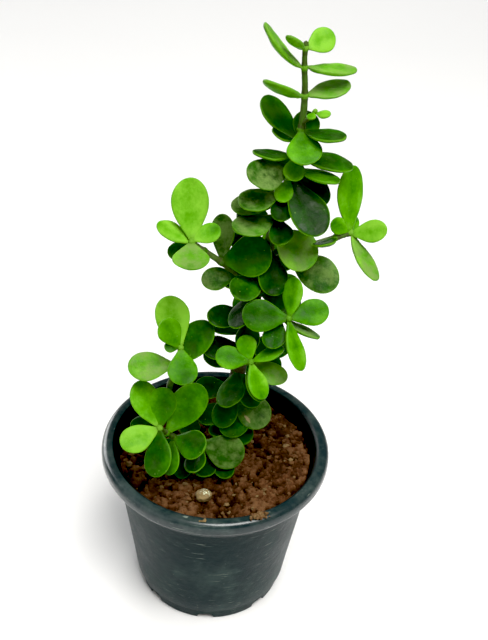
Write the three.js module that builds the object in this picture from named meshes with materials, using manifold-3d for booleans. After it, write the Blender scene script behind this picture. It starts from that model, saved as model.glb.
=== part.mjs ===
// Potted jade plant: a tapered nursery pot with a rolled rim, filled with clumpy soil, holding a leaning
// trunk with side shoots and opposite pairs of thick, spoon-shaped leaves.
// Units are millimetres, +Z is up, and the origin is the centre of the pot's underside.
import * as THREE from 'three';
import { mergeVertices } from 'three/addons/utils/BufferGeometryUtils.js';
import Module from 'manifold-3d';

const wasm = await Module();
wasm.setup();

// ---- Driving dimensions -------------------------------------------------------------------------------

const GAP = 0.3; // clearance left between neighbouring pieces

const POT_HEIGHT = 122;
const POT_BASE_RADIUS = 52.5;
const POT_NECK_RADIUS = 68.5; // body radius just under the rim
const POT_WALL = 2;
const POT_FLOOR = 2.5;
const RIM_RADIUS = 76;
const RIM_HEIGHT = 9;
const RIM_ROUND = 2.2; // rounding of the rim's lip
const STEP_DROP = 7; // height of the ring band below the rim
const STEP_RADIUS = 71.5;
const FOOT_HEIGHT = 10; // height of the foot band
const FOOT_INSET = 1.2;
const POT_SEGMENTS = 40;
const DRAIN_COUNT = 8;
const DRAIN_WIDTH = 11;
const DRAIN_HEIGHT = 5;
const DRAIN_DEPTH = 7;

const SOIL_LEVEL = 109;
const SOIL_ROUGHNESS = 2.4; // height of the clods
const SOIL_RINGS = 8;
const SOIL_SEGMENTS = 32;

const LEAF_BULK = 1.4; // blade thickness is LEAF_BULK + LEAF_FLESH * length
const LEAF_FLESH = 0.06;
const LEAF_BOW = 0.05; // sag of the blade's middle below its chord, as a share of its length
const LEAF_CUP = 0.16; // lift of the blade's edges, as a share of its half width
const LEAF_WIDEST = 0.6; // where along its length the blade is widest
const LEAF_SHOULDER = 1.25; // how late the blade widens from its stalk
const PETIOLE = 0.2; // half width of the stalk end, as a share of the blade's half width
const BASE_DEPTH = 0.8; // where a blade starts, as a share of the stem's radius
const COLLAR_HEIGHT = 3;
const COLLAR_WALL = 1.3;

// ---- Growth plan --------------------------------------------------------------------------------------
// Each shoot has a route of points [x, y, z], its radius at the foot and at the tip, and its leaf sets.
// A leaf set sits `along` mm from the shoot's foot, and each leaf in it is
// [length, heading, rise, roll, width]: millimetres, and degrees round Z from +X, above the horizontal
// and about the leaf's own length.

const SHOOTS = [
  {
    name: 'trunk',
    route: [
      [2, 3, 92], [4, 4, 125], [9, 4, 158], [15, 4, 207], [22, 4, 255],
      [29, 3, 299], [36, 2, 335], [37, 1, 363], [35, 0, 385], [35, 0, 393],
    ],
    foot: 6,
    tip: 1.3,
    sets: [
      {
        name: 'trunk_leaves_01',
        along: 47,
        leaves: [[24, -48, -12, -15, 16], [22, 85, -10, 0, 14], [20, -110, 0, 10, 13], [18, 10, -10, 0, 10]],
      },
      {
        name: 'trunk_leaves_02',
        along: 62,
        leaves: [
          [26, -80, -22, -10, 20],
          [24, 125, -10, 0, 15],
          [26, -140, -10, 10, 16],
          [24, 25, -25, 0, 13],
        ],
      },
      {
        name: 'trunk_leaves_03',
        along: 74,
        leaves: [[32, -38, -32, -25, 22], [26, 180, -5, 30, 16], [28, -110, -35, -10, 18]],
      },
      {
        name: 'trunk_leaves_04',
        along: 90,
        leaves: [[30, -104, -18, -10, 18], [26, 40, 0, 0, 16], [28, -62, -28, 10, 17], [26, 150, 5, 20, 15]],
      },
      { name: 'trunk_leaves_05', along: 109, leaves: [[26, -165, 0, 30, 16], [30, 10, -5, -35, 17]] },
      { name: 'trunk_leaves_06', along: 117, leaves: [[30, -30, -30, 5, 16], [26, 150, 0, 0, 16]] },
      {
        name: 'trunk_leaves_07',
        along: 133,
        leaves: [[28, -160, 5, 40, 15], [26, 25, 0, -30, 16], [25, -95, -35, 0, 15]],
      },
      {
        name: 'trunk_leaves_08',
        along: 150,
        leaves: [[28, -5, -15, -30, 18], [28, 140, 0, 10, 17], [28, -121, -27, -10, 17]],
      },
      { name: 'trunk_leaves_09', along: 165, leaves: [[28, -121, -9, 15, 18], [28, 50, 0, -20, 17]] },
      { name: 'trunk_leaves_10', along: 181, leaves: [[28, -70, -50, 0, 18], [26, 150, 0, 20, 17]] },
      { name: 'trunk_leaves_11', along: 195, leaves: [[31, -30, -30, -45, 23], [28, 135, 0, 20, 17]] },
      { name: 'trunk_leaves_12', along: 203, leaves: [[30, -140, 0, 10, 19], [20, -78, -24, -10, 14]] },
      { name: 'trunk_leaves_13', along: 211, leaves: [[28, 175, -8, 15, 17], [28, 25, -10, -30, 17]] },
      { name: 'trunk_leaves_14', along: 219, leaves: [[28, -150, -5, 10, 18], [28, 60, -5, -20, 18], [18, -95, -38, 0, 13]] },
      {
        name: 'trunk_leaves_15',
        along: 228,
        leaves: [
          [37, -52, -35, -15, 22],
          [30, 20, -30, -45, 19],
          [15, -110, -42, 0, 11],
          [22, 110, 10, 0, 14],
        ],
      },
      { name: 'trunk_leaves_16', along: 235, leaves: [[29, -145, 0, 40, 19], [27, -15, -8, 5, 15]] },
      {
        name: 'trunk_leaves_17',
        along: 242,
        leaves: [[33, 10, -12, -5, 18], [24, -170, 5, 0, 14], [15, -95, -42, 5, 12]],
      },
      {
        name: 'trunk_leaves_18',
        along: 250,
        leaves: [[16, 170, 19, 5, 11], [22, 75, 25, -10, 15], [33, 132, 29, -5, 19]],
      },
      { name: 'trunk_leaves_19', along: 257, leaves: [[22, -82, -31, -5, 19], [26, -30, 5, -5, 15]] },
      { name: 'trunk_leaves_20', along: 276, leaves: [[29, -143, 25, -20, 13], [26, 25, 10, -10, 16]] },
      { name: 'trunk_leaves_21', along: 291, leaves: [[32, -163, 45, 14, 13], [29, 20, -5, 0, 14]] },
      { name: 'trunk_leaves_22', along: 301, leaves: [[17, -130, 32, -8, 8], [18, 35, 15, -50, 13]] },
    ],
  },
  {
    name: 'top_twig',
    route: [[37, 1, 350], [41, -3, 356], [43, -5, 360]],
    foot: 1.2,
    tip: 0.9,
    sets: [
      { name: 'top_twig_leaves', along: 12, leaves: [[9, -30, 5, -25, 6], [8, -110, -5, 0, 5]] },
    ],
  },
  {
    name: 'left_shoot',
    route: [[21, 4, 248], [8, 1, 255], [-3, -3, 265], [-13, -5, 273], [-19, -6, 278]],
    foot: 2.4,
    tip: 1.5,
    sets: [
      { name: 'left_leaves_1', along: 15, leaves: [[22, -165, -10, 50, 14], [24, 60, 10, -30, 14]] },
      { name: 'left_leaves_2', along: 29, leaves: [[30, -3, 18, -55, 25], [28, 95, 52, 35, 16]] },
      { name: 'left_leaves_3', along: 42, leaves: [[22, 170, -10, 30, 13]] },
      {
        name: 'left_crown',
        along: 53,
        leaves: [[36, 100, 63, -10, 22], [22, -85, -13, 0, 21], [22, 172, 24, 20, 13], [18, 17, 24, -40, 12]],
      },
    ],
  },
  {
    name: 'right_shoot',
    route: [[24, 4, 262], [36, 3, 268], [52, 3, 277], [71, 4, 285]],
    foot: 2.4,
    tip: 1.5,
    sets: [
      { name: 'right_leaves_1', along: 15, leaves: [[33, -22, -22, -50, 21], [22, 100, 10, 0, 15]] },
      { name: 'right_leaves_2', along: 43, leaves: [[20, 50, 20, -15, 12], [19, -128, 8, -20, 12]] },
      {
        name: 'right_crown',
        along: 54,
        leaves: [
          [38, 97, 64, -30, 20],
          [31, -44, -42, 10, 15],
          [21, -16, 20, -60, 13],
          [14, -175, 29, 65, 10],
        ],
      },
    ],
  },
  {
    name: 'middle_shoot',
    route: [[19, 4, 235], [29, -9, 235], [39, -22, 241]],
    foot: 2.2,
    tip: 1.4,
    sets: [
      { name: 'middle_leaves', along: 26, leaves: [[26, -16, -19, 15, 12], [20, -110, -40, 5, 14]] },
      {
        name: 'middle_crown',
        along: 34,
        leaves: [[24, 82, 58, 30, 14], [31, -64, -47, 25, 14], [24, 15, 11, -45, 16], [27, 178, 3, 50, 19]],
      },
    ],
  },
  {
    name: 'front_shoot',
    route: [[13, 4, 192], [15, -12, 200], [19, -30, 214]],
    foot: 2.2,
    tip: 1.4,
    sets: [
      { name: 'front_leaves', along: 30, leaves: [[26, -12, -16, -30, 14], [26, -40, -55, -10, 14]] },
      {
        name: 'front_crown',
        along: 42,
        leaves: [[23, -58, -44, 10, 14], [16, 120, 50, 20, 12], [21, 15, 23, -5, 11], [21, 177, 7, 45, 14]],
      },
    ],
  },
  {
    name: 'upright_shoot',
    route: [[4, 4, 126], [-14, -4, 146], [-30, -12, 169], [-27, -17, 192], [-23, -20, 213]],
    foot: 3,
    tip: 1.5,
    sets: [
      { name: 'upright_leaves', along: 88, leaves: [[29, -170, 0, 45, 18], [33, 40, 42, -20, 20]] },
      {
        name: 'upright_crown',
        along: 103,
        leaves: [[32, 122, 53, 15, 21], [24, -78, -27, 0, 18], [10, -170, 10, 30, 7], [22, 178, 63, 55, 15]],
      },
    ],
  },
  {
    name: 'low_shoot',
    route: [[3, 3, 115], [-14, -14, 131], [-27, -27, 148], [-34, -34, 161]],
    foot: 2.8,
    tip: 1.5,
    sets: [
      {
        name: 'low_leaves_1',
        along: 32,
        leaves: [[22, -170, -10, 20, 13], [24, 100, 0, 0, 15], [24, -109, -42, -10, 15]],
      },
      { name: 'low_leaves_2', along: 52, leaves: [[26, -36, 12, -40, 19], [24, -95, -45, -30, 14]] },
      { name: 'low_leaves_3', along: 61, leaves: [[37, 45, 39, -25, 22], [26, 155, -5, 20, 15]] },
      {
        name: 'low_crown',
        along: 70,
        leaves: [[32, 135, 46, 5, 19], [25, 88, 50, 0, 18], [26, -156, -15, 40, 17], [30, -91, -44, -20, 18]],
      },
    ],
  },
  {
    name: 'basal_shoot',
    route: [[3, 3, 100], [4, -10, 114], [-4, -17, 128], [-11, -19, 138]],
    foot: 2.2,
    tip: 1.3,
    sets: [
      { name: 'basal_leaves_1', along: 28, leaves: [[20, -60, -5, -10, 13], [18, 20, 5, 10, 11], [22, -118, 2, 5, 14]] },
      { name: 'basal_leaves_2', along: 46, leaves: [[29, -10, -8, -50, 23], [24, -100, -7, -15, 14]] },
    ],
  },
  {
    name: 'back_shoot_high',
    route: [[17, 4, 212], [20, 20, 229], [24, 34, 248]],
    foot: 2.2,
    tip: 1.4,
    sets: [
      { name: 'back_high_leaves', along: 32, leaves: [[24, 150, 0, 10, 15], [24, -5, 5, -10, 15]] },
      {
        name: 'back_high_crown',
        along: 45,
        leaves: [[24, 70, 35, 0, 15], [22, -110, 60, 0, 13], [20, 165, 25, 0, 12]],
      },
    ],
  },
  {
    name: 'back_shoot_low',
    route: [[11, 4, 174], [13, 20, 182], [15, 34, 194]],
    foot: 2.2,
    tip: 1.4,
    sets: [
      {
        name: 'back_low_crown',
        along: 39,
        leaves: [[24, 100, 30, 0, 15], [22, 10, 10, 0, 14], [22, 175, 10, 0, 14]],
      },
    ],
  },
];

// ---- Solids -------------------------------------------------------------------------------------------

/** Turns a closed three.js geometry into a solid that can be joined and cut. */
function solidFrom(geometry) {
  const bare = geometry.clone();
  bare.deleteAttribute('normal');
  bare.deleteAttribute('uv');
  const merged = mergeVertices(bare, 1e-4);
  const vertProperties = new Float32Array(merged.attributes.position.array);
  const triVerts = new Uint32Array(merged.index.array);
  return new wasm.Manifold(new wasm.Mesh({ numProp: 3, vertProperties, triVerts }));
}

/** Turns a solid back into a three.js geometry with smooth normals. */
function geometryFrom(solid) {
  const mesh = solid.getMesh();
  const geometry = new THREE.BufferGeometry();
  geometry.setAttribute('position', new THREE.BufferAttribute(new Float32Array(mesh.vertProperties), 3));
  geometry.setIndex(new THREE.BufferAttribute(new Uint32Array(mesh.triVerts), 1));
  geometry.computeVertexNormals();
  return geometry;
}

/** A repeatable number from 0 to 1 for a pair of whole numbers. */
function scatter(a, b) {
  const wave = Math.sin(a * 127.1 + b * 311.7) * 43758.5453;
  return wave - Math.floor(wave);
}

// ---- Stems --------------------------------------------------------------------------------------------

const STEM_SIDES = 6;

/** The smooth centre line of a shoot. */
function centreLine(shoot) {
  const points = shoot.route.map((point) => new THREE.Vector3(...point));
  return new THREE.CatmullRomCurve3(points, false, 'centripetal');
}

/** A round tapered bar bent along a shoot's centre line, `extra` mm fatter than the stem itself. */
function stemSolid(shoot, extra = 0) {
  const line = centreLine(shoot);
  const steps = Math.max(3, Math.round(line.getLength() / 16));
  const bar = new THREE.CylinderGeometry(1, 1, 1, STEM_SIDES, steps);
  const frames = line.computeFrenetFrames(steps, false);
  const position = bar.attributes.position;
  for (let i = 0; i < position.count; i += 1) {
    const share = THREE.MathUtils.clamp(position.getY(i) + 0.5, 0, 1);
    const step = Math.round(share * steps);
    const radius = THREE.MathUtils.lerp(shoot.foot, shoot.tip, share) + extra;
    const point = line.getPointAt(share);
    point.addScaledVector(frames.normals[step], position.getX(i) * radius);
    point.addScaledVector(frames.binormals[step], -position.getZ(i) * radius);
    const overrun = step === 0 ? -extra : step === steps ? extra : 0;
    point.addScaledVector(frames.tangents[step], overrun);
    position.setXYZ(i, point.x, point.y, point.z);
  }
  return solidFrom(bar);
}

// ---- Leaves -------------------------------------------------------------------------------------------

const BLADE_SIDES = 6;
const BLADE_RINGS = 6;

/** Half width of the blade at `share` of its length, as a share of its greatest half width. */
function bladeOutline(share) {
  if (share > LEAF_WIDEST) {
    return Math.sqrt(Math.max(0, 1 - ((share - LEAF_WIDEST) / (1 - LEAF_WIDEST)) ** 2));
  }
  return PETIOLE + (1 - PETIOLE) * Math.sin((share / LEAF_WIDEST) * (Math.PI / 2)) ** LEAF_SHOULDER;
}

/** The upper-face normal of a leaf with the given heading, rise and roll, and its direction. */
function leafDirections(heading, rise, roll) {
  const turn = new THREE.Quaternion().setFromEuler(
    new THREE.Euler(
      THREE.MathUtils.degToRad(-roll),
      THREE.MathUtils.degToRad(-rise),
      THREE.MathUtils.degToRad(heading),
      'ZYX',
    ),
  );
  return {
    outward: new THREE.Vector3(1, 0, 0).applyQuaternion(turn),
    upper: new THREE.Vector3(0, 0, 1).applyQuaternion(turn),
  };
}

/**
 * One thick, spoon-shaped blade: a sphere drawn out along the leaf, narrowed to a stalk and cupped.
 * It springs from the stem's side, and its tip lies `length` mm from the stem's centre.
 */
function bladeSolid([length, heading, rise, roll, width], joint) {
  const { outward, upper } = leafDirections(heading, rise, roll);
  const tip = joint.centre.clone().addScaledVector(outward, length);
  const sideways = outward.clone().projectOnPlane(joint.tangent).normalize();
  const base = joint.centre.clone().addScaledVector(sideways, joint.radius * BASE_DEPTH);
  const along = tip.clone().sub(base);
  const reach = along.length();
  along.normalize();
  upper.projectOnPlane(along).normalize();
  const across = upper.clone().cross(along);
  const thickness = LEAF_BULK + LEAF_FLESH * reach;
  const ball = new THREE.SphereGeometry(1, BLADE_SIDES, BLADE_RINGS);
  const position = ball.attributes.position;
  for (let i = 0; i < position.count; i += 1) {
    const share = (1 - position.getY(i)) / 2;
    const ring = Math.hypot(position.getX(i), position.getZ(i));
    const isPole = ring < 1e-6;
    const half = isPole ? 0 : bladeOutline(share) * (width / 2);
    const flesh = isPole ? 0 : (thickness / 2) * (0.55 + 0.45 * Math.sin(Math.PI * share));
    const offset = isPole ? 0 : (position.getX(i) / ring) * half;
    const body = isPole ? 0 : (position.getZ(i) / ring) * flesh;
    const bow = -4 * LEAF_BOW * reach * share * (1 - share);
    const cup = LEAF_CUP * (offset * offset) / (width / 2);
    const point = base.clone();
    point.addScaledVector(along, share * reach);
    point.addScaledVector(across, offset);
    point.addScaledVector(upper, body + bow + cup);
    position.setXYZ(i, point.x, point.y, point.z);
  }
  return solidFrom(ball);
}

/** Where a leaf set meets its stem: the stem's centre, direction and radius there. */
function jointOf(shoot, along) {
  const line = centreLine(shoot);
  const share = Math.min(1, along / line.getLength());
  return {
    centre: line.getPointAt(share),
    tangent: line.getTangentAt(share),
    radius: THREE.MathUtils.lerp(shoot.foot, shoot.tip, share),
  };
}

/** The ring of flesh that joins a set's leaves round their stem. */
function collarSolid({ centre, tangent, radius }) {
  const outer = (radius + GAP) / Math.cos(Math.PI / STEM_SIDES) + COLLAR_WALL;
  const collar = new THREE.CylinderGeometry(outer, outer, COLLAR_HEIGHT, STEM_SIDES);
  collar.applyQuaternion(new THREE.Quaternion().setFromUnitVectors(new THREE.Vector3(0, 1, 0), tangent));
  collar.translate(centre.x, centre.y, centre.z);
  return solidFrom(collar);
}

/** The leaves that grow from one point of a shoot, joined by their collar and clear of the stem. */
function leafSetSolid(shoot, set, clearance) {
  const joint = jointOf(shoot, set.along);
  const blades = set.leaves.map((leaf) => bladeSolid(leaf, joint));
  return blades.reduce((sum, blade) => sum.add(blade), collarSolid(joint)).subtract(clearance);
}

// ---- Pot ----------------------------------------------------------------------------------------------

/** Outer radius of the pot's tapered body at height `z`. */
function bodyRadius(z) {
  return THREE.MathUtils.mapLinear(z, 0, POT_HEIGHT, POT_BASE_RADIUS, POT_NECK_RADIUS);
}

/** Inner radius of the pot's wall at height `z`. */
function innerRadius(z) {
  return bodyRadius(z) - POT_WALL;
}

/** The pot: one turned shell with a rolled rim, a ring band, a foot band and drain notches. */
function potSolid() {
  const rimFoot = POT_HEIGHT - RIM_HEIGHT;
  const stepFoot = rimFoot - STEP_DROP;
  const profile = [
    [0, 0],
    [POT_BASE_RADIUS - FOOT_INSET, 0],
    [bodyRadius(FOOT_HEIGHT) - FOOT_INSET, FOOT_HEIGHT],
    [bodyRadius(FOOT_HEIGHT) + 0.4, FOOT_HEIGHT + 1.2],
    [bodyRadius(stepFoot), stepFoot],
    [STEP_RADIUS, stepFoot + 1.2],
    [STEP_RADIUS + 0.6, rimFoot + 0.5],
    [RIM_RADIUS - RIM_ROUND, rimFoot - 1],
    [RIM_RADIUS - 0.4, rimFoot],
    [RIM_RADIUS, rimFoot + RIM_ROUND],
    [RIM_RADIUS, POT_HEIGHT - RIM_ROUND],
    [RIM_RADIUS - 0.7, POT_HEIGHT - 0.6],
    [RIM_RADIUS - RIM_ROUND, POT_HEIGHT],
    [innerRadius(POT_HEIGHT) + 1.4, POT_HEIGHT],
    [innerRadius(POT_HEIGHT), POT_HEIGHT - 1.4],
    [innerRadius(POT_FLOOR), POT_FLOOR],
    [0, POT_FLOOR],
  ];
  const outline = profile.map(([r, z]) => new THREE.Vector2(r, z));
  const shell = solidFrom(new THREE.LatheGeometry(outline, POT_SEGMENTS).rotateX(Math.PI / 2));
  return drainNotches().reduce((pot, notch) => pot.subtract(notch), shell);
}

/** The blocks that cut the drain notches through the corner of the wall and the floor. */
function drainNotches() {
  return Array.from({ length: DRAIN_COUNT }, (_, i) => {
    const block = new THREE.BoxGeometry(DRAIN_DEPTH * 2, DRAIN_WIDTH, DRAIN_HEIGHT * 2);
    block.translate(POT_BASE_RADIUS, 0, 0);
    block.rotateZ(-Math.PI / 2 + (i * 2 * Math.PI) / DRAIN_COUNT);
    return solidFrom(block);
  });
}

// ---- Soil and grit ------------------------------------------------------------------------------------

/** Height of the clumpy soil surface at polar place (`ring`, `spoke`). */
function soilHeight(ring, spoke) {
  const clods = scatter(ring, spoke % SOIL_SEGMENTS) - 0.5;
  return SOIL_LEVEL + clods * 2 * SOIL_ROUGHNESS;
}

/** The plug of soil that fills the pot up to its clumpy surface. */
function soilSolid(stems) {
  const plugFoot = POT_FLOOR + GAP;
  const wallGap = GAP + 0.4;
  const profile = [[0, plugFoot], [innerRadius(plugFoot) - wallGap, plugFoot]];
  const topRadius = innerRadius(SOIL_LEVEL) - wallGap;
  for (let ring = SOIL_RINGS; ring >= 0; ring -= 1) {
    profile.push([(topRadius * ring) / SOIL_RINGS, SOIL_LEVEL]);
  }
  const plug = new THREE.LatheGeometry(profile.map(([r, z]) => new THREE.Vector2(r, z)), SOIL_SEGMENTS);
  plug.rotateX(Math.PI / 2);
  const position = plug.attributes.position;
  for (let i = 0; i < position.count; i += 1) {
    const radius = Math.hypot(position.getX(i), position.getY(i));
    const ring = Math.round((radius / topRadius) * SOIL_RINGS);
    if (position.getZ(i) > SOIL_LEVEL - 1) {
      const turn = Math.atan2(position.getY(i), position.getX(i)) / (2 * Math.PI);
      const spoke = (Math.round(turn * SOIL_SEGMENTS) + SOIL_SEGMENTS) % SOIL_SEGMENTS;
      position.setZ(i, ring === 0 ? SOIL_LEVEL : soilHeight(ring, spoke));
    }
  }
  return stems.reduce((soil, stem) => soil.subtract(stem), solidFrom(plug));
}

/** A rounded lump: a low sphere squashed to `size` and set with its lowest point at `foot`. */
function lumpSolid(size, foot, detail) {
  const lump = new THREE.SphereGeometry(0.5, detail, detail - 2);
  lump.rotateX(Math.PI / 2);
  lump.scale(...size);
  lump.translate(foot[0], foot[1], foot[2] + size[2] / 2);
  return solidFrom(lump);
}

const PEBBLE_SIZE = [11, 9, 7];
const PEBBLE_FOOT = [-5, -44, SOIL_LEVEL + SOIL_ROUGHNESS + GAP];
const CRUMB_SIZE = [13, 5, 3];
const CRUMB_FOOT = [30, -65.5, POT_HEIGHT + GAP];

// ---- Assembly -----------------------------------------------------------------------------------------

const MATERIALS = {
  pot: { color: 0x2b3432, roughness: 0.5, metalness: 0 },
  soil: { color: 0x5a3120, roughness: 0.95, metalness: 0 },
  pebble: { color: 0x8a7a5c, roughness: 0.6, metalness: 0 },
  stem: { color: 0x6f7d3c, roughness: 0.6, metalness: 0 },
  bark: { color: 0x5c4a30, roughness: 0.8, metalness: 0 },
  leaf: { color: 0x3f8f1f, roughness: 0.35, metalness: 0 },
};

/** Adds one named sub-part to the group. */
function addPart(group, name, solid, material) {
  const mesh = new THREE.Mesh(geometryFrom(solid), new THREE.MeshStandardMaterial(MATERIALS[material]));
  mesh.name = name;
  group.add(mesh);
}

/** The whole plant in its pot. */
function buildPlant() {
  const group = new THREE.Group();
  const [trunk, ...branches] = SHOOTS;
  const fatTrunk = stemSolid(trunk, GAP);
  addPart(group, 'pot', potSolid(), 'pot');
  addPart(group, 'soil', soilSolid(SHOOTS.map((shoot) => stemSolid(shoot, GAP))), 'soil');
  addPart(group, 'pebble', lumpSolid(PEBBLE_SIZE, PEBBLE_FOOT, 10), 'pebble');
  addPart(group, 'rim_crumb', lumpSolid(CRUMB_SIZE, CRUMB_FOOT, 8), 'soil');
  addPart(group, 'trunk', stemSolid(trunk), 'bark');
  branches.forEach((shoot) => addPart(group, shoot.name, stemSolid(shoot).subtract(fatTrunk), 'stem'));
  SHOOTS.forEach((shoot) => {
    const ownStem = stemSolid(shoot, GAP);
    const clearance = shoot === trunk ? ownStem : ownStem.add(fatTrunk);
    shoot.sets.forEach((set) => addPart(group, set.name, leafSetSolid(shoot, set, clearance), 'leaf'));
  });
  return group;
}

export default buildPlant();
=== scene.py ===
"""Potted jade plant: a leaning trunk with side shoots and thick, spoon-shaped leaves in a nursery pot.

The growth plan below is in millimetres and degrees, the same plan that the frame's solids follow. Every
piece is built in millimetres and turned into metres when its mesh is made.
"""
import logging
import math
import random
from dataclasses import dataclass, field
from enum import Enum

import bmesh
import bpy
import numpy as np
from mathutils import Matrix, Vector, noise


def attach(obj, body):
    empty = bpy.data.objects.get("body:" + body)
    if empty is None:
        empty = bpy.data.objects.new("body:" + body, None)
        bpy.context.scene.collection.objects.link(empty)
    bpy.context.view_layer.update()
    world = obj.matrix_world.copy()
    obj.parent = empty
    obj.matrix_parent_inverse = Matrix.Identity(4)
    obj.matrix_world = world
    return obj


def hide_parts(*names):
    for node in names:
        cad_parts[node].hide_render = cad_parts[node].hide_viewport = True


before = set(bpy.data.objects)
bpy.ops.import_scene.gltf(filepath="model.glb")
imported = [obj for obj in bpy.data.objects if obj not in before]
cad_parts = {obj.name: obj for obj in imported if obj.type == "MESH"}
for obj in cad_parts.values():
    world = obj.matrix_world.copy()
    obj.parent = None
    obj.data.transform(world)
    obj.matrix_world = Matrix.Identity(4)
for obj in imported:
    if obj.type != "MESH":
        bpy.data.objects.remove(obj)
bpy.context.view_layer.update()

LOG = logging.getLogger("jade_plant")
MM = 0.001  # millimetres to metres
BODY = "root"
UP = np.array([0.0, 0.0, 1.0])

Triple = tuple[float, float, float]
Faces = list[tuple[int, ...]]
Socket = bpy.types.NodeSocket
Tree = bpy.types.NodeTree


# ---- Growth plan --------------------------------------------------------------------------------------


class Tone(Enum):
    """A leaf's colour: (shade from lime 0 to near black 1, how much dust lies on it from 0 to 1), partly its
    own colour and partly painted light and shade.
    """

    LIME = (0.06, 0.0)
    BRIGHT = (0.26, 0.0)
    FRESH = (0.40, 0.05)
    DEEP = (0.68, 0.10)
    # DARK is partly the leaf's own deep green and partly painted shade: near black, as leaves deep in the
    # foliage look in shade.
    DARK = (0.90, 0.05)
    # PALE is partly real dust bloom and partly painted light: pale, as leaves lit from behind look.
    PALE = (0.17, 0.75)
    OLIVE = (0.64, 0.50)
    DUSTY = (0.74, 0.60)


class Age(Enum):
    """How old a leaf set is, named by a material slot of the record; its finish is the leaf material made for
    its age.
    """

    YOUNG = "young_leaf"
    MATURE = "mature_leaf"
    OLD = "old_leaf"


@dataclass(frozen=True)
class Leaf:
    """One leaf: length and width in millimetres, and in degrees where it points and how it is turned.

    heading is round Z from +X, rise is above the horizontal, and roll is about the leaf's own length.
    scar is how far from the middle a dry scar lies, as a share of the half width; 0 means no scar.
    """

    length: float
    heading: float
    rise: float
    roll: float
    width: float
    tone: Tone
    scar: float = 0.0


@dataclass(frozen=True)
class LeafSet:
    """The leaves that grow from one joint, `along` millimetres from their shoot's foot."""

    name: str
    along: float
    age: Age
    leaves: tuple[Leaf, ...]


@dataclass(frozen=True)
class Shoot:
    """A stem: the route of its centre line, its radius at the foot and at the tip, and its leaf sets."""

    name: str
    route: tuple[Triple, ...]
    foot: float
    tip: float
    sets: tuple[LeafSet, ...]


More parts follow.
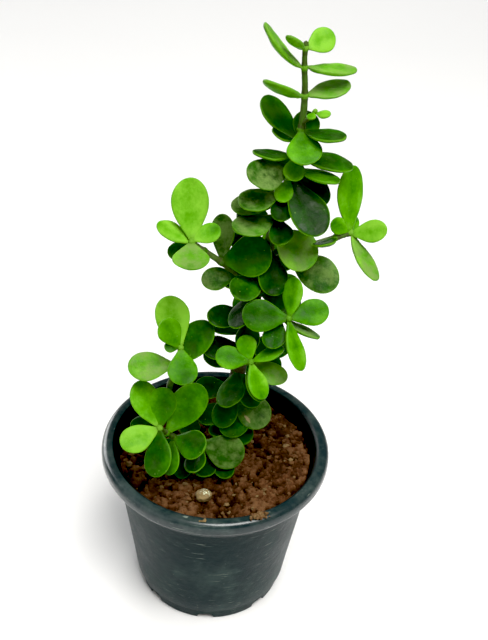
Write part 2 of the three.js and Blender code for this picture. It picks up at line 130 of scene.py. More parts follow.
GROWTH = (
    Shoot(
        "trunk",
        route=(
            (2, 3, 92), (4, 4, 125), (9, 4, 158), (15, 4, 207), (22, 4, 255),
            (29, 3, 299), (36, 2, 335), (37, 1, 363), (35, 0, 385), (35, 0, 393),
        ),
        foot=6,
        tip=1.3,
        sets=(
            LeafSet("trunk_leaves_01", 47, Age.OLD, (
                Leaf(24, -48, -12, -15, 16, Tone.DEEP),
                Leaf(22, 85, -10, 0, 14, Tone.DARK),
                Leaf(20, -110, 0, 10, 13, Tone.DARK),
                Leaf(18, 10, -10, 0, 10, Tone.DEEP),
            )),
            LeafSet("trunk_leaves_02", 62, Age.OLD, (
                Leaf(26, -80, -22, -10, 20, Tone.DEEP),
                Leaf(24, 125, -10, 0, 15, Tone.DARK),
                Leaf(26, -140, -10, 10, 16, Tone.DARK),
                Leaf(24, 25, -25, 0, 13, Tone.DARK),
            )),
            LeafSet("trunk_leaves_03", 74, Age.OLD, (
                Leaf(32, -38, -32, -25, 22, Tone.DUSTY, -0.55),
                Leaf(26, 180, -5, 30, 16, Tone.DARK),
                Leaf(28, -110, -35, -10, 18, Tone.DEEP),
            )),
            LeafSet("trunk_leaves_04", 90, Age.OLD, (
                Leaf(30, -104, -18, -10, 18, Tone.DEEP),
                Leaf(26, 40, 0, 0, 16, Tone.DARK),
                Leaf(28, -62, -28, 10, 17, Tone.DEEP),
                Leaf(26, 150, 5, 20, 15, Tone.DARK),
            )),
            LeafSet("trunk_leaves_05", 109, Age.MATURE, (
                Leaf(26, -165, 0, 30, 16, Tone.DARK),
                Leaf(30, 10, -5, -35, 17, Tone.DEEP),
            )),
            LeafSet("trunk_leaves_06", 117, Age.MATURE, (
                Leaf(30, -30, -30, 5, 16, Tone.DEEP),
                Leaf(26, 150, 0, 0, 16, Tone.DARK),
            )),
            LeafSet("trunk_leaves_07", 133, Age.MATURE, (
                Leaf(28, -160, 5, 40, 15, Tone.DARK),
                Leaf(26, 25, 0, -30, 16, Tone.DEEP),
                Leaf(25, -95, -35, 0, 15, Tone.DARK),
            )),
            LeafSet("trunk_leaves_08", 150, Age.MATURE, (
                Leaf(28, -5, -15, -30, 18, Tone.DEEP),
                Leaf(28, 140, 0, 10, 17, Tone.DARK),
                Leaf(28, -121, -27, -10, 17, Tone.DARK),
            )),
            LeafSet("trunk_leaves_09", 165, Age.OLD, (
                Leaf(28, -121, -9, 15, 18, Tone.DEEP),
                Leaf(28, 50, 0, -20, 17, Tone.DARK),
            )),
            LeafSet("trunk_leaves_10", 181, Age.MATURE, (
                Leaf(28, -70, -50, 0, 18, Tone.DARK),
                Leaf(26, 150, 0, 20, 17, Tone.DARK),
            )),
            LeafSet("trunk_leaves_11", 195, Age.MATURE, (
                Leaf(31, -30, -30, -45, 23, Tone.PALE),
                Leaf(28, 135, 0, 20, 17, Tone.DARK),
            )),
            LeafSet("trunk_leaves_12", 203, Age.OLD, (
                Leaf(30, -140, 0, 10, 19, Tone.OLIVE),
                Leaf(20, -78, -24, -10, 14, Tone.DARK),
            )),
            LeafSet("trunk_leaves_13", 211, Age.OLD, (
                Leaf(28, 175, -8, 15, 17, Tone.DUSTY),
                Leaf(28, 25, -10, -30, 17, Tone.DEEP),
            )),
            LeafSet("trunk_leaves_14", 219, Age.OLD, (
                Leaf(28, -150, -5, 10, 18, Tone.DUSTY),
                Leaf(28, 60, -5, -20, 18, Tone.DEEP),
                Leaf(18, -95, -38, 0, 13, Tone.DARK),
            )),
            LeafSet("trunk_leaves_15", 228, Age.MATURE, (
                Leaf(37, -52, -35, -15, 22, Tone.DARK),
                Leaf(30, 20, -30, -45, 19, Tone.DARK),
                Leaf(15, -110, -42, 0, 11, Tone.BRIGHT),
                Leaf(22, 110, 10, 0, 14, Tone.DEEP),
            )),
            LeafSet("trunk_leaves_16", 235, Age.OLD, (
                Leaf(29, -145, 0, 40, 19, Tone.DUSTY),
                Leaf(27, -15, -8, 5, 15, Tone.FRESH),
            )),
            LeafSet("trunk_leaves_17", 242, Age.MATURE, (
                Leaf(33, 10, -12, -5, 18, Tone.DEEP),
                Leaf(24, -170, 5, 0, 14, Tone.DEEP),
                Leaf(15, -95, -42, 5, 12, Tone.BRIGHT),
            )),
            LeafSet("trunk_leaves_18", 250, Age.MATURE, (
                Leaf(16, 170, 19, 5, 11, Tone.DARK),
                Leaf(22, 75, 25, -10, 15, Tone.DEEP),
                Leaf(33, 132, 29, -5, 19, Tone.DEEP),
            )),
            LeafSet("trunk_leaves_19", 257, Age.MATURE, (
                Leaf(22, -82, -31, -5, 19, Tone.FRESH),
                Leaf(26, -30, 5, -5, 15, Tone.DEEP),
            )),
            LeafSet("trunk_leaves_20", 276, Age.YOUNG, (
                Leaf(29, -143, 25, -20, 13, Tone.PALE),
                Leaf(26, 25, 10, -10, 16, Tone.PALE),
            )),
            LeafSet("trunk_leaves_21", 291, Age.YOUNG, (
                Leaf(32, -163, 45, 14, 13, Tone.PALE),
                Leaf(29, 20, -5, 0, 14, Tone.PALE),
            )),
            LeafSet("trunk_leaves_22", 301, Age.YOUNG, (
                Leaf(17, -130, 32, -8, 8, Tone.PALE),
                Leaf(18, 35, 15, -50, 13, Tone.LIME),
            )),
        ),
    ),
    Shoot(
        "top_twig",
        route=((37, 1, 350), (41, -3, 356), (43, -5, 360)),
        foot=1.2,
        tip=0.9,
        sets=(
            LeafSet("top_twig_leaves", 12, Age.YOUNG, (
                Leaf(9, -30, 5, -25, 6, Tone.LIME),
                Leaf(8, -110, -5, 0, 5, Tone.BRIGHT),
            )),
        ),
    ),
    Shoot(
        "left_shoot",
        route=((21, 4, 248), (8, 1, 255), (-3, -3, 265), (-13, -5, 273), (-19, -6, 278)),
        foot=2.4,
        tip=1.5,
        sets=(
            LeafSet("left_leaves_1", 15, Age.MATURE, (
                Leaf(22, -165, -10, 50, 14, Tone.DUSTY),
                Leaf(24, 60, 10, -30, 14, Tone.DARK),
            )),
            LeafSet("left_leaves_2", 29, Age.MATURE, (
                Leaf(30, -3, 18, -55, 25, Tone.DEEP),
                Leaf(28, 95, 52, 35, 16, Tone.DUSTY),
            )),
            LeafSet("left_leaves_3", 42, Age.MATURE, (Leaf(22, 170, -10, 30, 13, Tone.DEEP),)),
            LeafSet("left_crown", 53, Age.YOUNG, (
                Leaf(36, 100, 63, -10, 22, Tone.LIME),
                Leaf(22, -85, -13, 0, 21, Tone.PALE),
                Leaf(22, 172, 24, 20, 13, Tone.LIME),
                Leaf(18, 17, 24, -40, 12, Tone.LIME),
            )),
        ),
    ),
    Shoot(
        "right_shoot",
        route=((24, 4, 262), (36, 3, 268), (52, 3, 277), (71, 4, 285)),
        foot=2.4,
        tip=1.5,
        sets=(
            LeafSet("right_leaves_1", 15, Age.MATURE, (
                Leaf(33, -22, -22, -50, 21, Tone.DUSTY),
                Leaf(22, 100, 10, 0, 15, Tone.DEEP),
            )),
            LeafSet("right_leaves_2", 43, Age.MATURE, (
                Leaf(20, 50, 20, -15, 12, Tone.FRESH),
                Leaf(19, -128, 8, -20, 12, Tone.DARK),
            )),
            LeafSet("right_crown", 54, Age.YOUNG, (
                Leaf(38, 97, 64, -30, 20, Tone.BRIGHT),
                Leaf(31, -44, -42, 10, 15, Tone.PALE),
                Leaf(21, -16, 20, -60, 13, Tone.LIME),
                Leaf(14, -175, 29, 65, 10, Tone.BRIGHT),
            )),
        ),
    ),
    Shoot(
        "middle_shoot",
        route=((19, 4, 235), (29, -9, 235), (39, -22, 241)),
        foot=2.2,
        tip=1.4,
        sets=(
            LeafSet("middle_leaves", 26, Age.MATURE, (
                Leaf(26, -16, -19, 15, 12, Tone.DUSTY),
                Leaf(20, -110, -40, 5, 14, Tone.DEEP),
            )),
            LeafSet("middle_crown", 34, Age.YOUNG, (
                Leaf(24, 82, 58, 30, 14, Tone.FRESH),
                Leaf(31, -64, -47, 25, 14, Tone.BRIGHT),
                Leaf(24, 15, 11, -45, 16, Tone.FRESH),
                Leaf(27, 178, 3, 50, 19, Tone.DEEP),
            )),
        ),
    ),
    Shoot(
        "front_shoot",
        route=((13, 4, 192), (15, -12, 200), (19, -30, 214)),
        foot=2.2,
        tip=1.4,
        sets=(
            LeafSet("front_leaves", 30, Age.MATURE, (
                Leaf(26, -12, -16, -30, 14, Tone.PALE),
                Leaf(26, -40, -55, -10, 14, Tone.DEEP),
            )),
            LeafSet("front_crown", 42, Age.YOUNG, (
                Leaf(23, -58, -44, 10, 14, Tone.BRIGHT),
                Leaf(16, 120, 50, 20, 12, Tone.BRIGHT),
                Leaf(21, 15, 23, -5, 11, Tone.FRESH),
                Leaf(21, 177, 7, 45, 14, Tone.FRESH),
            )),
        ),
    ),
    Shoot(
        "upright_shoot",
        route=((4, 4, 126), (-14, -4, 146), (-30, -12, 169), (-27, -17, 192), (-23, -20, 213)),
        foot=3,
        tip=1.5,
        sets=(
            LeafSet("upright_leaves", 88, Age.MATURE, (
                Leaf(29, -170, 0, 45, 18, Tone.PALE),
                Leaf(33, 40, 42, -20, 20, Tone.DEEP),
            )),
            LeafSet("upright_crown", 103, Age.YOUNG, (
                Leaf(32, 122, 53, 15, 21, Tone.LIME),
                Leaf(24, -78, -27, 0, 18, Tone.FRESH),
                Leaf(10, -170, 10, 30, 7, Tone.DEEP),
                Leaf(22, 178, 63, 55, 15, Tone.BRIGHT),
            )),
        ),
    ),
    Shoot(
        "low_shoot",
        route=((3, 3, 115), (-14, -14, 131), (-27, -27, 148), (-34, -34, 161)),
        foot=2.8,
        tip=1.5,
        sets=(
            LeafSet("low_leaves_1", 32, Age.OLD, (
                Leaf(22, -170, -10, 20, 13, Tone.DEEP),
                Leaf(24, 100, 0, 0, 15, Tone.DARK),
                Leaf(24, -109, -42, -10, 15, Tone.DARK),
            )),
            LeafSet("low_leaves_2", 52, Age.MATURE, (
                Leaf(26, -36, 12, -40, 19, Tone.DEEP),
                Leaf(24, -95, -45, -30, 14, Tone.DEEP),
            )),
            LeafSet("low_leaves_3", 61, Age.MATURE, (
                Leaf(37, 45, 39, -25, 22, Tone.FRESH),
                Leaf(26, 155, -5, 20, 15, Tone.DEEP),
            )),
            LeafSet("low_crown", 70, Age.YOUNG, (
                Leaf(32, 135, 46, 5, 19, Tone.BRIGHT),
                Leaf(25, 88, 50, 0, 18, Tone.FRESH),
                Leaf(26, -156, -15, 40, 17, Tone.LIME),
                Leaf(30, -91, -44, -20, 18, Tone.DEEP),
            )),
        ),
    ),
    Shoot(
        "basal_shoot",
        route=((3, 3, 100), (4, -10, 114), (-4, -17, 128), (-11, -19, 138)),
        foot=2.2,
        tip=1.3,
        sets=(
            LeafSet("basal_leaves_1", 28, Age.OLD, (
                Leaf(20, -60, -5, -10, 13, Tone.DARK),
                Leaf(18, 20, 5, 10, 11, Tone.DARK),
                Leaf(22, -118, 2, 5, 14, Tone.DARK),
            )),
            LeafSet("basal_leaves_2", 46, Age.MATURE, (
                Leaf(29, -10, -8, -50, 23, Tone.DUSTY),
                Leaf(24, -100, -7, -15, 14, Tone.DARK),
            )),
        ),
    ),
    Shoot(
        "back_shoot_high",
        route=((17, 4, 212), (20, 20, 229), (24, 34, 248)),
        foot=2.2,
        tip=1.4,
        sets=(
            LeafSet("back_high_leaves", 32, Age.OLD, (
                Leaf(24, 150, 0, 10, 15, Tone.DEEP),
                Leaf(24, -5, 5, -10, 15, Tone.DEEP),
            )),
            LeafSet("back_high_crown", 45, Age.YOUNG, (
                Leaf(24, 70, 35, 0, 15, Tone.BRIGHT),
                Leaf(22, -110, 60, 0, 13, Tone.BRIGHT),
                Leaf(20, 165, 25, 0, 12, Tone.BRIGHT),
            )),
        ),
    ),
    Shoot(
        "back_shoot_low",
        route=((11, 4, 174), (13, 20, 182), (15, 34, 194)),
        foot=2.2,
        tip=1.4,
        sets=(
            LeafSet("back_low_crown", 39, Age.YOUNG, (
                Leaf(24, 100, 30, 0, 15, Tone.FRESH),
                Leaf(22, 10, 10, 0, 14, Tone.FRESH),
                Leaf(22, 175, 10, 0, 14, Tone.FRESH),
            )),
        ),
    ),
)


# ---- Mesh making --------------------------------------------------------------------------------------


def smoothstep(value: np.ndarray | float, low: float, high: float) -> np.ndarray | float:
    """Eases from 0 at `low` to 1 at `high`."""
    share = np.clip((value - low) / (high - low), 0.0, 1.0)
    return share * share * (3 - 2 * share)


def unit(vector: np.ndarray) -> np.ndarray:
    """The vector at length 1."""
    return vector / np.linalg.norm(vector)


def flatten_on(vector: np.ndarray, normal: np.ndarray) -> np.ndarray:
    """The unit direction of `vector` on the plane across `normal`."""
    return unit(vector - normal * float(vector @ normal))


def round_turn(sides: int) -> np.ndarray:
    """Evenly spaced angles round a full turn, in radians."""
    return np.arange(sides) * 2 * math.pi / sides


def loft(rings: np.ndarray, first: np.ndarray, last: np.ndarray) -> tuple[np.ndarray, Faces]:
    """Skins a row of rings and pinches each end to a point.

    Args:
        rings: points as [ring, place in ring, xyz].
        first: the point that closes the first ring.
        last: the point that closes the last ring.

    Returns:
        The points, rings first and then the two ends, and the faces.
    """
    count, sides = rings.shape[:2]
    points = np.vstack([rings.reshape(-1, 3), first[None, :], last[None, :]])
    start, end = count * sides, count * sides + 1
    faces: Faces = []
    for j in range(sides):
        k = (j + 1) % sides
        faces.append((start, k, j))
        faces.append((end, (count - 1) * sides + j, (count - 1) * sides + k))
        for i in range(count - 1):
            a, b = i * sides + j, i * sides + k
            faces.append((a, b, b + sides, a + sides))
    return points, faces


class Skin:
    """Gathers closed patches, with named marks on their points, into one mesh."""

    def __init__(self, *marks: str) -> None:
        """Starts an empty skin.

        Args:
            marks: names of the numbers kept for each point, read by the finishes.
        """
        self.points: list[np.ndarray] = []
        self.faces: Faces = []
        self.grain: list[np.ndarray] = []
        self.marks: dict[str, list[np.ndarray]] = {mark: [] for mark in marks}
        self.count = 0

    def add(self, points: np.ndarray, faces: Faces, grain: np.ndarray, **marks: object) -> None:
        """Adds one closed patch.

        Args:
            points: its points in millimetres.
            faces: its faces, as places in `points`.
            grain: a position for each point that the finish's patterns follow.
            marks: a number, or one number for each point, for every named mark.
        """
        self.faces.extend(tuple(place + self.count for place in face) for face in faces)
        self.points.append(points)
        self.grain.append(grain)
        for name, kept in self.marks.items():
            kept.append(np.broadcast_to(np.asarray(marks[name], dtype=float), (len(points),)))
        self.count += len(points)

    def piece(self, name: str, material: bpy.types.Material, slot: str, *nodes: str) -> bpy.types.Object:
        """Makes the object, rides it on the body and lets it stand for its CAD nodes.

        Args:
            name: the piece's name.
            material: its finish.
            slot: the record's material slot; not used.
            nodes: the CAD nodes it replaces.

        Returns:
            The new object.
        """
        mesh = bpy.data.meshes.new(name)
        mesh.from_pydata(np.vstack(self.points) * MM, [], self.faces)
        for mark, kept in self.marks.items():
            mesh.attributes.new(mark, "FLOAT", "POINT").data.foreach_set("value", np.concatenate(kept))
        grain = mesh.attributes.new("grain", "FLOAT_VECTOR", "POINT")
        grain.data.foreach_set("vector", np.vstack(self.grain).ravel())
        shell = bmesh.new()
        shell.from_mesh(mesh)
        bmesh.ops.recalc_face_normals(shell, faces=shell.faces)
        shell.to_mesh(mesh)
        shell.free()
        mesh.polygons.foreach_set("use_smooth", [True] * len(mesh.polygons))
        mesh.materials.append(material)
        piece = bpy.data.objects.new(name, mesh)
        bpy.context.scene.collection.objects.link(piece)
        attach(piece, BODY)
        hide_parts(*nodes)
        LOG.info("%s: %d points for %s", name, len(mesh.vertices), ", ".join(nodes))
        return piece


@dataclass(frozen=True)
class Lump:
    """A rough stone, clod or grain: a ball swollen and pinched by noise."""

    size: Triple
    rough: float  # how far its skin strays from round, as a share of its size
    rings: int = 7
    broad_waves: float = 1.4  # how closely the swellings follow each other over a ball of radius 1
    fine_waves: float = 3.1

    def ball(self) -> tuple[np.ndarray, Faces]:
        """A ball of radius 1 made of closed rings.

        Returns:
            Its points and faces.
        """
        sides = self.rings + 3
        tilt = (np.arange(self.rings) + 1) * math.pi / (self.rings + 1)
        turn = round_turn(sides)
        hoops = np.stack([
            np.outer(np.sin(tilt), np.cos(turn)),
            np.outer(np.sin(tilt), np.sin(turn)),
            np.outer(-np.cos(tilt), np.ones(sides)),
        ], axis=-1)
        return loft(hoops, -UP, UP)

    def make(self, dice: random.Random, centre: np.ndarray) -> tuple[np.ndarray, Faces]:
        """Makes the lump.

        Args:
            dice: its random numbers.
            centre: its middle in millimetres.

        Returns:
            Its points and faces.
        """
        points, faces = self.ball()
        spin = dice.uniform(0, math.pi)
        offset = Vector([dice.uniform(-50, 50) for _ in range(3)])
        broad = np.array([noise.noise(Vector(point) * self.broad_waves + offset) for point in points])
        fine = np.array([abs(noise.noise(Vector(point) * self.fine_waves + offset)) for point in points])
        swell = 1 + self.rough * 1.3 * broad - self.rough * 0.7 * fine
        points = points * swell[:, None] * (np.array(self.size) / 2)
        turned = np.array([
            [math.cos(spin), -math.sin(spin), 0],
            [math.sin(spin), math.cos(spin), 0],
            [0, 0, 1],
        ])
        return points @ turned.T + centre, faces


# ---- Stems --------------------------------------------------------------------------------------------


class CentreLine:
    """A smooth centripetal curve through a shoot's route, measured by its own length."""

    STEPS = 200
    STRIDE = 0.5  # how far each side of a place its direction is measured, in millimetres

    def __init__(self, route: tuple[Triple, ...]) -> None:
        """Lays the curve.

        Args:
            route: the points it passes through, in millimetres.
        """
        knots = [np.array(point, dtype=float) for point in route]
        knots = [2 * knots[0] - knots[1], *knots, 2 * knots[-1] - knots[-2]]
        spans = len(knots) - 3
        track = []
        for step in range(self.STEPS + 1):
            place = step * spans / self.STEPS
            span = min(int(place), spans - 1)
            track.append(self._bend(knots[span:span + 4], place - span))
        self.track = np.array(track)
        self.miles = np.concatenate([[0], np.cumsum(np.linalg.norm(np.diff(self.track, axis=0), axis=1))])

    @staticmethod
    def _bend(knots: list[np.ndarray], share: float) -> np.ndarray:
        """A point between the second and the third of four knots.

        Args:
            knots: the four knots.
            share: how far from the second to the third, from 0 to 1.

        Returns:
            The point.
        """
        before, start, end, after = knots
        gaps = [max(1e-4, np.linalg.norm(b - a) ** 0.5) for a, b in zip(knots, knots[1:])]
        lead = (start - before) / gaps[0] - (end - before) / (gaps[0] + gaps[1]) + (end - start) / gaps[1]
        trail = (end - start) / gaps[1] - (after - start) / (gaps[1] + gaps[2]) + (after - end) / gaps[2]
        lead, trail = lead * gaps[1], trail * gaps[1]
        square = -3 * start + 3 * end - 2 * lead - trail
        cube = 2 * start - 2 * end + lead + trail
        return start + lead * share + square * share ** 2 + cube * share ** 3

    @property
    def length(self) -> float:
        """Its whole length in millimetres."""
        return float(self.miles[-1])

    def at(self, along: float) -> np.ndarray:
        """The point `along` millimetres from its foot."""
        return np.array([np.interp(along, self.miles, self.track[:, axis]) for axis in range(3)])

    def heading(self, along: float) -> np.ndarray:
        """The direction it runs in there."""
        return unit(self.at(min(along + self.STRIDE, self.length)) - self.at(max(along - self.STRIDE, 0.0)))


@dataclass(frozen=True)
class Joint:
    """The place on a stem that a leaf set grows from."""

    centre: np.ndarray
    tangent: np.ndarray
    radius: float


@dataclass
class Stem:
    """A knobbly tapered stem with a swelling and a scar ring at each leaf joint."""

    shoot: Shoot
    bark_foot: float  # how brown it is at its foot, from 0 green to 1 bark
    bark_tip: float
    sides: int = 16
    step: float = 1.1  # distance between its rings, in millimetres
    swelling: float = 0.16  # at a joint, as a share of its radius
    swelling_reach: float = 2.2
    pinch: float = 0.05  # just past the swelling
    pinch_place: float = 3.4
    scar_place: float = 2.6  # how far from a joint the scar ring lies
    knobs: float = 0.07  # relief of its knobs and grooves, as shares of its radius
    grooves: float = 0.05
    line: CentreLine = field(init=False)

    def __post_init__(self) -> None:
        """Lays the centre line."""
        self.line = CentreLine(self.shoot.route)

    def radius(self, along: float) -> float:
        """Its plain tapered radius there."""
        share = min(1.0, along / self.line.length)
        return self.shoot.foot + (self.shoot.tip - self.shoot.foot) * share

    def joint(self, along: float) -> Joint:
        """Where a leaf set `along` millimetres up meets it."""
        place = min(along, self.line.length)
        return Joint(self.line.at(place), self.line.heading(place), self.radius(place))

    def ring(self, place: float, side: np.ndarray, near: float, seed: Vector) -> list[np.ndarray]:
        """One ring of its skin.

        Args:
            place: how far up the stem, in millimetres.
            side: a direction across the stem that its points start from.
            near: distance to the nearest joint.
            seed: where its knobs are read from the noise.

        Returns:
            The ring's points.
        """
        other = np.cross(self.line.heading(place), side)
        swell = 1 + self.swelling * math.exp(-(near / self.swelling_reach) ** 2)
        swell -= self.pinch * math.exp(-((near - self.pinch_place) / 0.8) ** 2)
        centre = self.line.at(place)
        points = []
        for turn in round_turn(self.sides):
            out = side * math.cos(turn) + other * math.sin(turn)
            knob = noise.noise(Vector(centre * 0.16 + out * 1.4) + seed)
            groove = noise.noise(Vector((math.cos(turn) * 2, math.sin(turn) * 2, place * 0.05)) + seed)
            relief = swell + self.knobs * knob + self.grooves * groove
            points.append(centre + out * self.radius(place) * relief)
        return points

    def build(self, material: bpy.types.Material, slot: str) -> bpy.types.Object:
        """Builds the stem as one closed skin.

        Args:
            material: its finish.
            slot: the record's material slot.

        Returns:
            The piece.
        """
        dice = random.Random(self.shoot.name)
        seed = Vector([dice.uniform(0, 90) for _ in range(3)])
        length = self.line.length
        joints = [min(leaf_set.along, length) for leaf_set in self.shoot.sets]
        side = flatten_on(np.array([1.0, 0.2, 0.0]), self.line.heading(0))
        rings, scars, browns = [], [], []
        for place in np.linspace(0, length, max(12, round(length / self.step))):
            side = flatten_on(side, self.line.heading(place))
            near = min((abs(place - joint) for joint in joints), default=99.0)
            rings.append(self.ring(place, side, near, seed))
            scars.append(math.exp(-((near - self.scar_place) / 0.7) ** 2))
            browns.append(self.bark_foot + (self.bark_tip - self.bark_foot) * (place / length) ** 0.8)
        start = self.line.at(0) - self.line.heading(0) * 0.3
        end = self.line.at(length) + self.line.heading(length) * self.shoot.tip * 0.7
        points, faces = loft(np.array(rings), start, end)
        scar, brown = (
            np.append(np.repeat(mark, self.sides), [mark[0], mark[-1]]) for mark in (scars, browns)
        )
        skin = Skin("brown", "scar")
        skin.add(points, faces, points * np.array([1.0, 1.0, 0.45]), scar=scar, brown=brown)
        return skin.piece(f"{self.shoot.name}_stem", material, slot, self.shoot.name)


# ---- Leaves -------------------------------------------------------------------------------------------


@dataclass
class Foliage:
    """Turns leaf sets into meshes: thick cupped blades with a thin rim, round a swollen joint."""

    bulk: float = 1.8  # blade thickness is bulk + flesh * length
    flesh: float = 0.075
    bow: float = 0.05  # sag of the blade's middle below its chord, as a share of its length
    cup: float = 0.10  # lift of the blade's edges, as a share of its half width
    widest: float = 0.60  # where along its length the blade is widest
    shoulder: float = 1.25  # how late it swells towards there
    petiole: float = 0.20  # half width of the stalk end, as a share of the blade's half width
    base_depth: float = 0.8  # where a blade starts, as a share of the stem's radius
    rings: int = 26
    sides: int = 28
    first_ring: float = 0.08  # the first and last rings, as shares of the half turn that spaces them
    last_ring: float = 0.965
    last_place: float = 0.996  # where the last ring lies along the blade
    edge_power: float = 0.82  # below 1 its edge is blunter than an ellipse's
    top_share: float = 0.82  # its upper and lower bulges, as shares of its half thickness
    under_share: float = 1.12
    crease_width: float = 0.16  # of the groove along its middle, as a share of the half width
    rim_width: float = 0.42  # of the pale line along its edge, in millimetres
    twist: float = 7.0  # most that its tip turns, in degrees
    dent_depth: float = 0.30
    dent_waves: float = 0.22
    joint_rings: tuple[tuple[float, float], ...] = (
        (-2.0, 0.6), (-1.5, 0.93), (-0.8, 1.08), (0.0, 1.14), (0.8, 1.08), (1.4, 0.9), (1.8, 0.5),
    )  # (place along the stem in millimetres, share of the joint's radius)
    joint_sides: int = 14

    def outline(self, share: np.ndarray) -> np.ndarray:
        """Half width of the blade at `share` of its length, as a share of its greatest half width.

        Args:
            share: places along the blade, from 0 to 1.

        Returns:
            The half width at each place.
        """
        tip = np.sqrt(np.clip(1 - ((share - self.widest) / (1 - self.widest)) ** 2, 0, 1))
        swell = np.sin(np.clip(share / self.widest, 0, 1) * math.pi / 2) ** self.shoulder
        stalk = self.petiole + (1 - self.petiole) * swell
        return np.where(share > self.widest, tip, stalk)

    def places(self) -> np.ndarray:
        """Where the blade's rings lie along it, closer together towards both ends."""
        share = 0.5 - 0.5 * np.cos(np.linspace(self.first_ring, self.last_ring, self.rings) * math.pi)
        return share / (0.5 - 0.5 * math.cos(self.last_ring * math.pi)) * self.last_place

    @staticmethod
    def directions(leaf: Leaf) -> tuple[np.ndarray, np.ndarray]:
        """The direction a leaf points in and the normal of its upper face.

        Args:
            leaf: the leaf's plan.

        Returns:
            The two unit vectors.
        """
        heading, rise, roll = (math.radians(turn) for turn in (leaf.heading, leaf.rise, leaf.roll))
        round_z = np.array([math.cos(heading), math.sin(heading), 0.0])
        outward = math.cos(rise) * round_z + math.sin(rise) * UP
        level = -math.sin(rise) * round_z + math.cos(rise) * UP
        return outward, level * math.cos(roll) + np.cross(level, outward) * math.sin(roll)

    def add_blade(self, skin: Skin, leaf: Leaf, joint: Joint, dice: random.Random) -> None:
        """Adds one leaf's blade to its set's skin.

        Args:
            skin: the set's mesh so far.
            leaf: the leaf's plan.
            joint: where it grows from.
            dice: its random numbers.
        """
        outward, upper = self.directions(leaf)
        tip = joint.centre + outward * leaf.length
        base = joint.centre + flatten_on(outward, joint.tangent) * joint.radius * self.base_depth
        reach = float(np.linalg.norm(tip - base))
        along = (tip - base) / reach
        upper = flatten_on(upper, along)
        across = np.cross(upper, along)
        half_width = leaf.width / 2
        thick = self.bulk + self.flesh * reach

        s, t = np.meshgrid(self.places(), round_turn(self.sides), indexing="ij")
        lean = dice.uniform(-0.07, 0.07)
        wave, beat = dice.uniform(0.008, 0.022), dice.uniform(0, 6)
        ripple = wave * np.sin(s * 9 + beat + np.sign(np.cos(t)) * 1.7)
        ripple = 1 + ripple + lean * np.cos(t) * np.sin(math.pi * s)
        half = self.outline(s) * half_width * ripple
        offset = np.cos(t) * half
        lens = np.sign(np.sin(t)) * np.abs(np.sin(t)) ** self.edge_power
        upward = lens > 0
        belly = thick / 2 * (0.55 + 0.45 * np.sin(math.pi * s)) * np.clip(half / (thick * 0.62), 0.35, 1)
        body = belly * lens * np.where(upward, self.top_share, self.under_share)
        crease = np.exp(-(offset / (self.crease_width * half_width)) ** 2)
        crease = crease * (1 - s) ** 0.7 * np.sin(math.pi * s) ** 0.5 * dice.uniform(0.5, 1.3)
        body = body - np.where(upward, 0.30, 0.10) * thick / 2 * crease
        bow = -4 * self.bow * reach * s * (1 - s) * dice.uniform(0.7, 1.3)
        cup = self.cup * dice.uniform(0.8, 1.25) * offset ** 2 / half_width
        turn = math.radians(dice.uniform(-self.twist, self.twist)) * smoothstep(s, 0.2, 1.0)
        grid = (
            base
            + s[..., None] * reach * along
            + (offset * np.cos(turn) - body * np.sin(turn))[..., None] * across
            + (body + bow + cup + offset * np.sin(turn))[..., None] * upper
        )
        points, faces = loft(grid, base, base + along * reach)
        seed = Vector([dice.uniform(0, 60) for _ in range(3)])
        dents = np.array([noise.noise(Vector(point) * self.dent_waves + seed) for point in points])
        points = points + (dents * self.dent_depth)[:, None] * upper

        edge = np.minimum(half * (1 - np.abs(np.cos(t))), reach * (1 - s) * 0.9)
        rim = np.append(np.exp(-(edge / self.rim_width) ** 2) * smoothstep(s, 0.12, 0.35), [0, 1])
        share = np.append(s, [0, 1])
        side = np.append(offset / half_width, [0, 0])
        grain = np.stack([share * reach, side * half_width, np.full(len(points), dice.uniform(0, 400))], 1)
        shade, dust = leaf.tone.value
        shade = shade + dice.uniform(-0.05, 0.05)
        shade = shade + dice.uniform(-0.13, 0.13) * side + dice.uniform(-0.16, 0.16) * (share - 0.5)
        scar = np.exp(-((share - 0.62) / 0.16) ** 2 - ((side - leaf.scar) / 0.13) ** 2) * (leaf.scar != 0)
        skin.add(points, faces, grain, shade=shade, dust=dust, scar=scar, rim=rim, share=share,
                 face=np.append(lens, [0, 0]), side=side)

    def add_joint(self, skin: Skin, joint: Joint, shade: float, dice: random.Random) -> None:
        """Adds the swollen ring of flesh that a set's leaves grow from.

        Args:
            skin: the set's mesh so far.
            joint: where it sits.
            shade: its shade, as in Tone.
            dice: its random numbers.
        """
        side = flatten_on(np.array([0.3, 1.0, 0.1]), joint.tangent)
        other = np.cross(joint.tangent, side)
        turn = round_turn(self.joint_sides)
        rings = []
        for place, swell in self.joint_rings:
            radius = (joint.radius + 0.25) * swell * (1 + 0.04 * dice.uniform(-1, 1))
            centre = joint.centre + joint.tangent * place
            rings.append(centre + radius * (np.outer(np.cos(turn), side) + np.outer(np.sin(turn), other)))
        start, end = joint.centre - joint.tangent * 2.2, joint.centre + joint.tangent * 2.0
        points, faces = loft(np.array(rings), start, end)
        skin.add(points, faces, points, shade=shade, dust=0.25, scar=0.0, rim=0.0, share=0.05,
                 face=0.0, side=0.0)

    def build(self, leaf_set: LeafSet, joint: Joint, material: bpy.types.Material) -> bpy.types.Object:
        """Builds one leaf set.

        Args:
            leaf_set: its plan.
            joint: where it sits on its stem.
            material: its finish.

        Returns:
            The piece.
        """
        skin = Skin("shade", "dust", "scar", "rim", "share", "face", "side")
        for number, leaf in enumerate(leaf_set.leaves):
            self.add_blade(skin, leaf, joint, random.Random(f"{leaf_set.name}-{number}"))
        shade = min(leaf.tone.value[0] for leaf in leaf_set.leaves)
        self.add_joint(skin, joint, shade, random.Random(leaf_set.name))
        return skin.piece(f"{leaf_set.name}_blades", material, leaf_set.age.value, leaf_set.name)


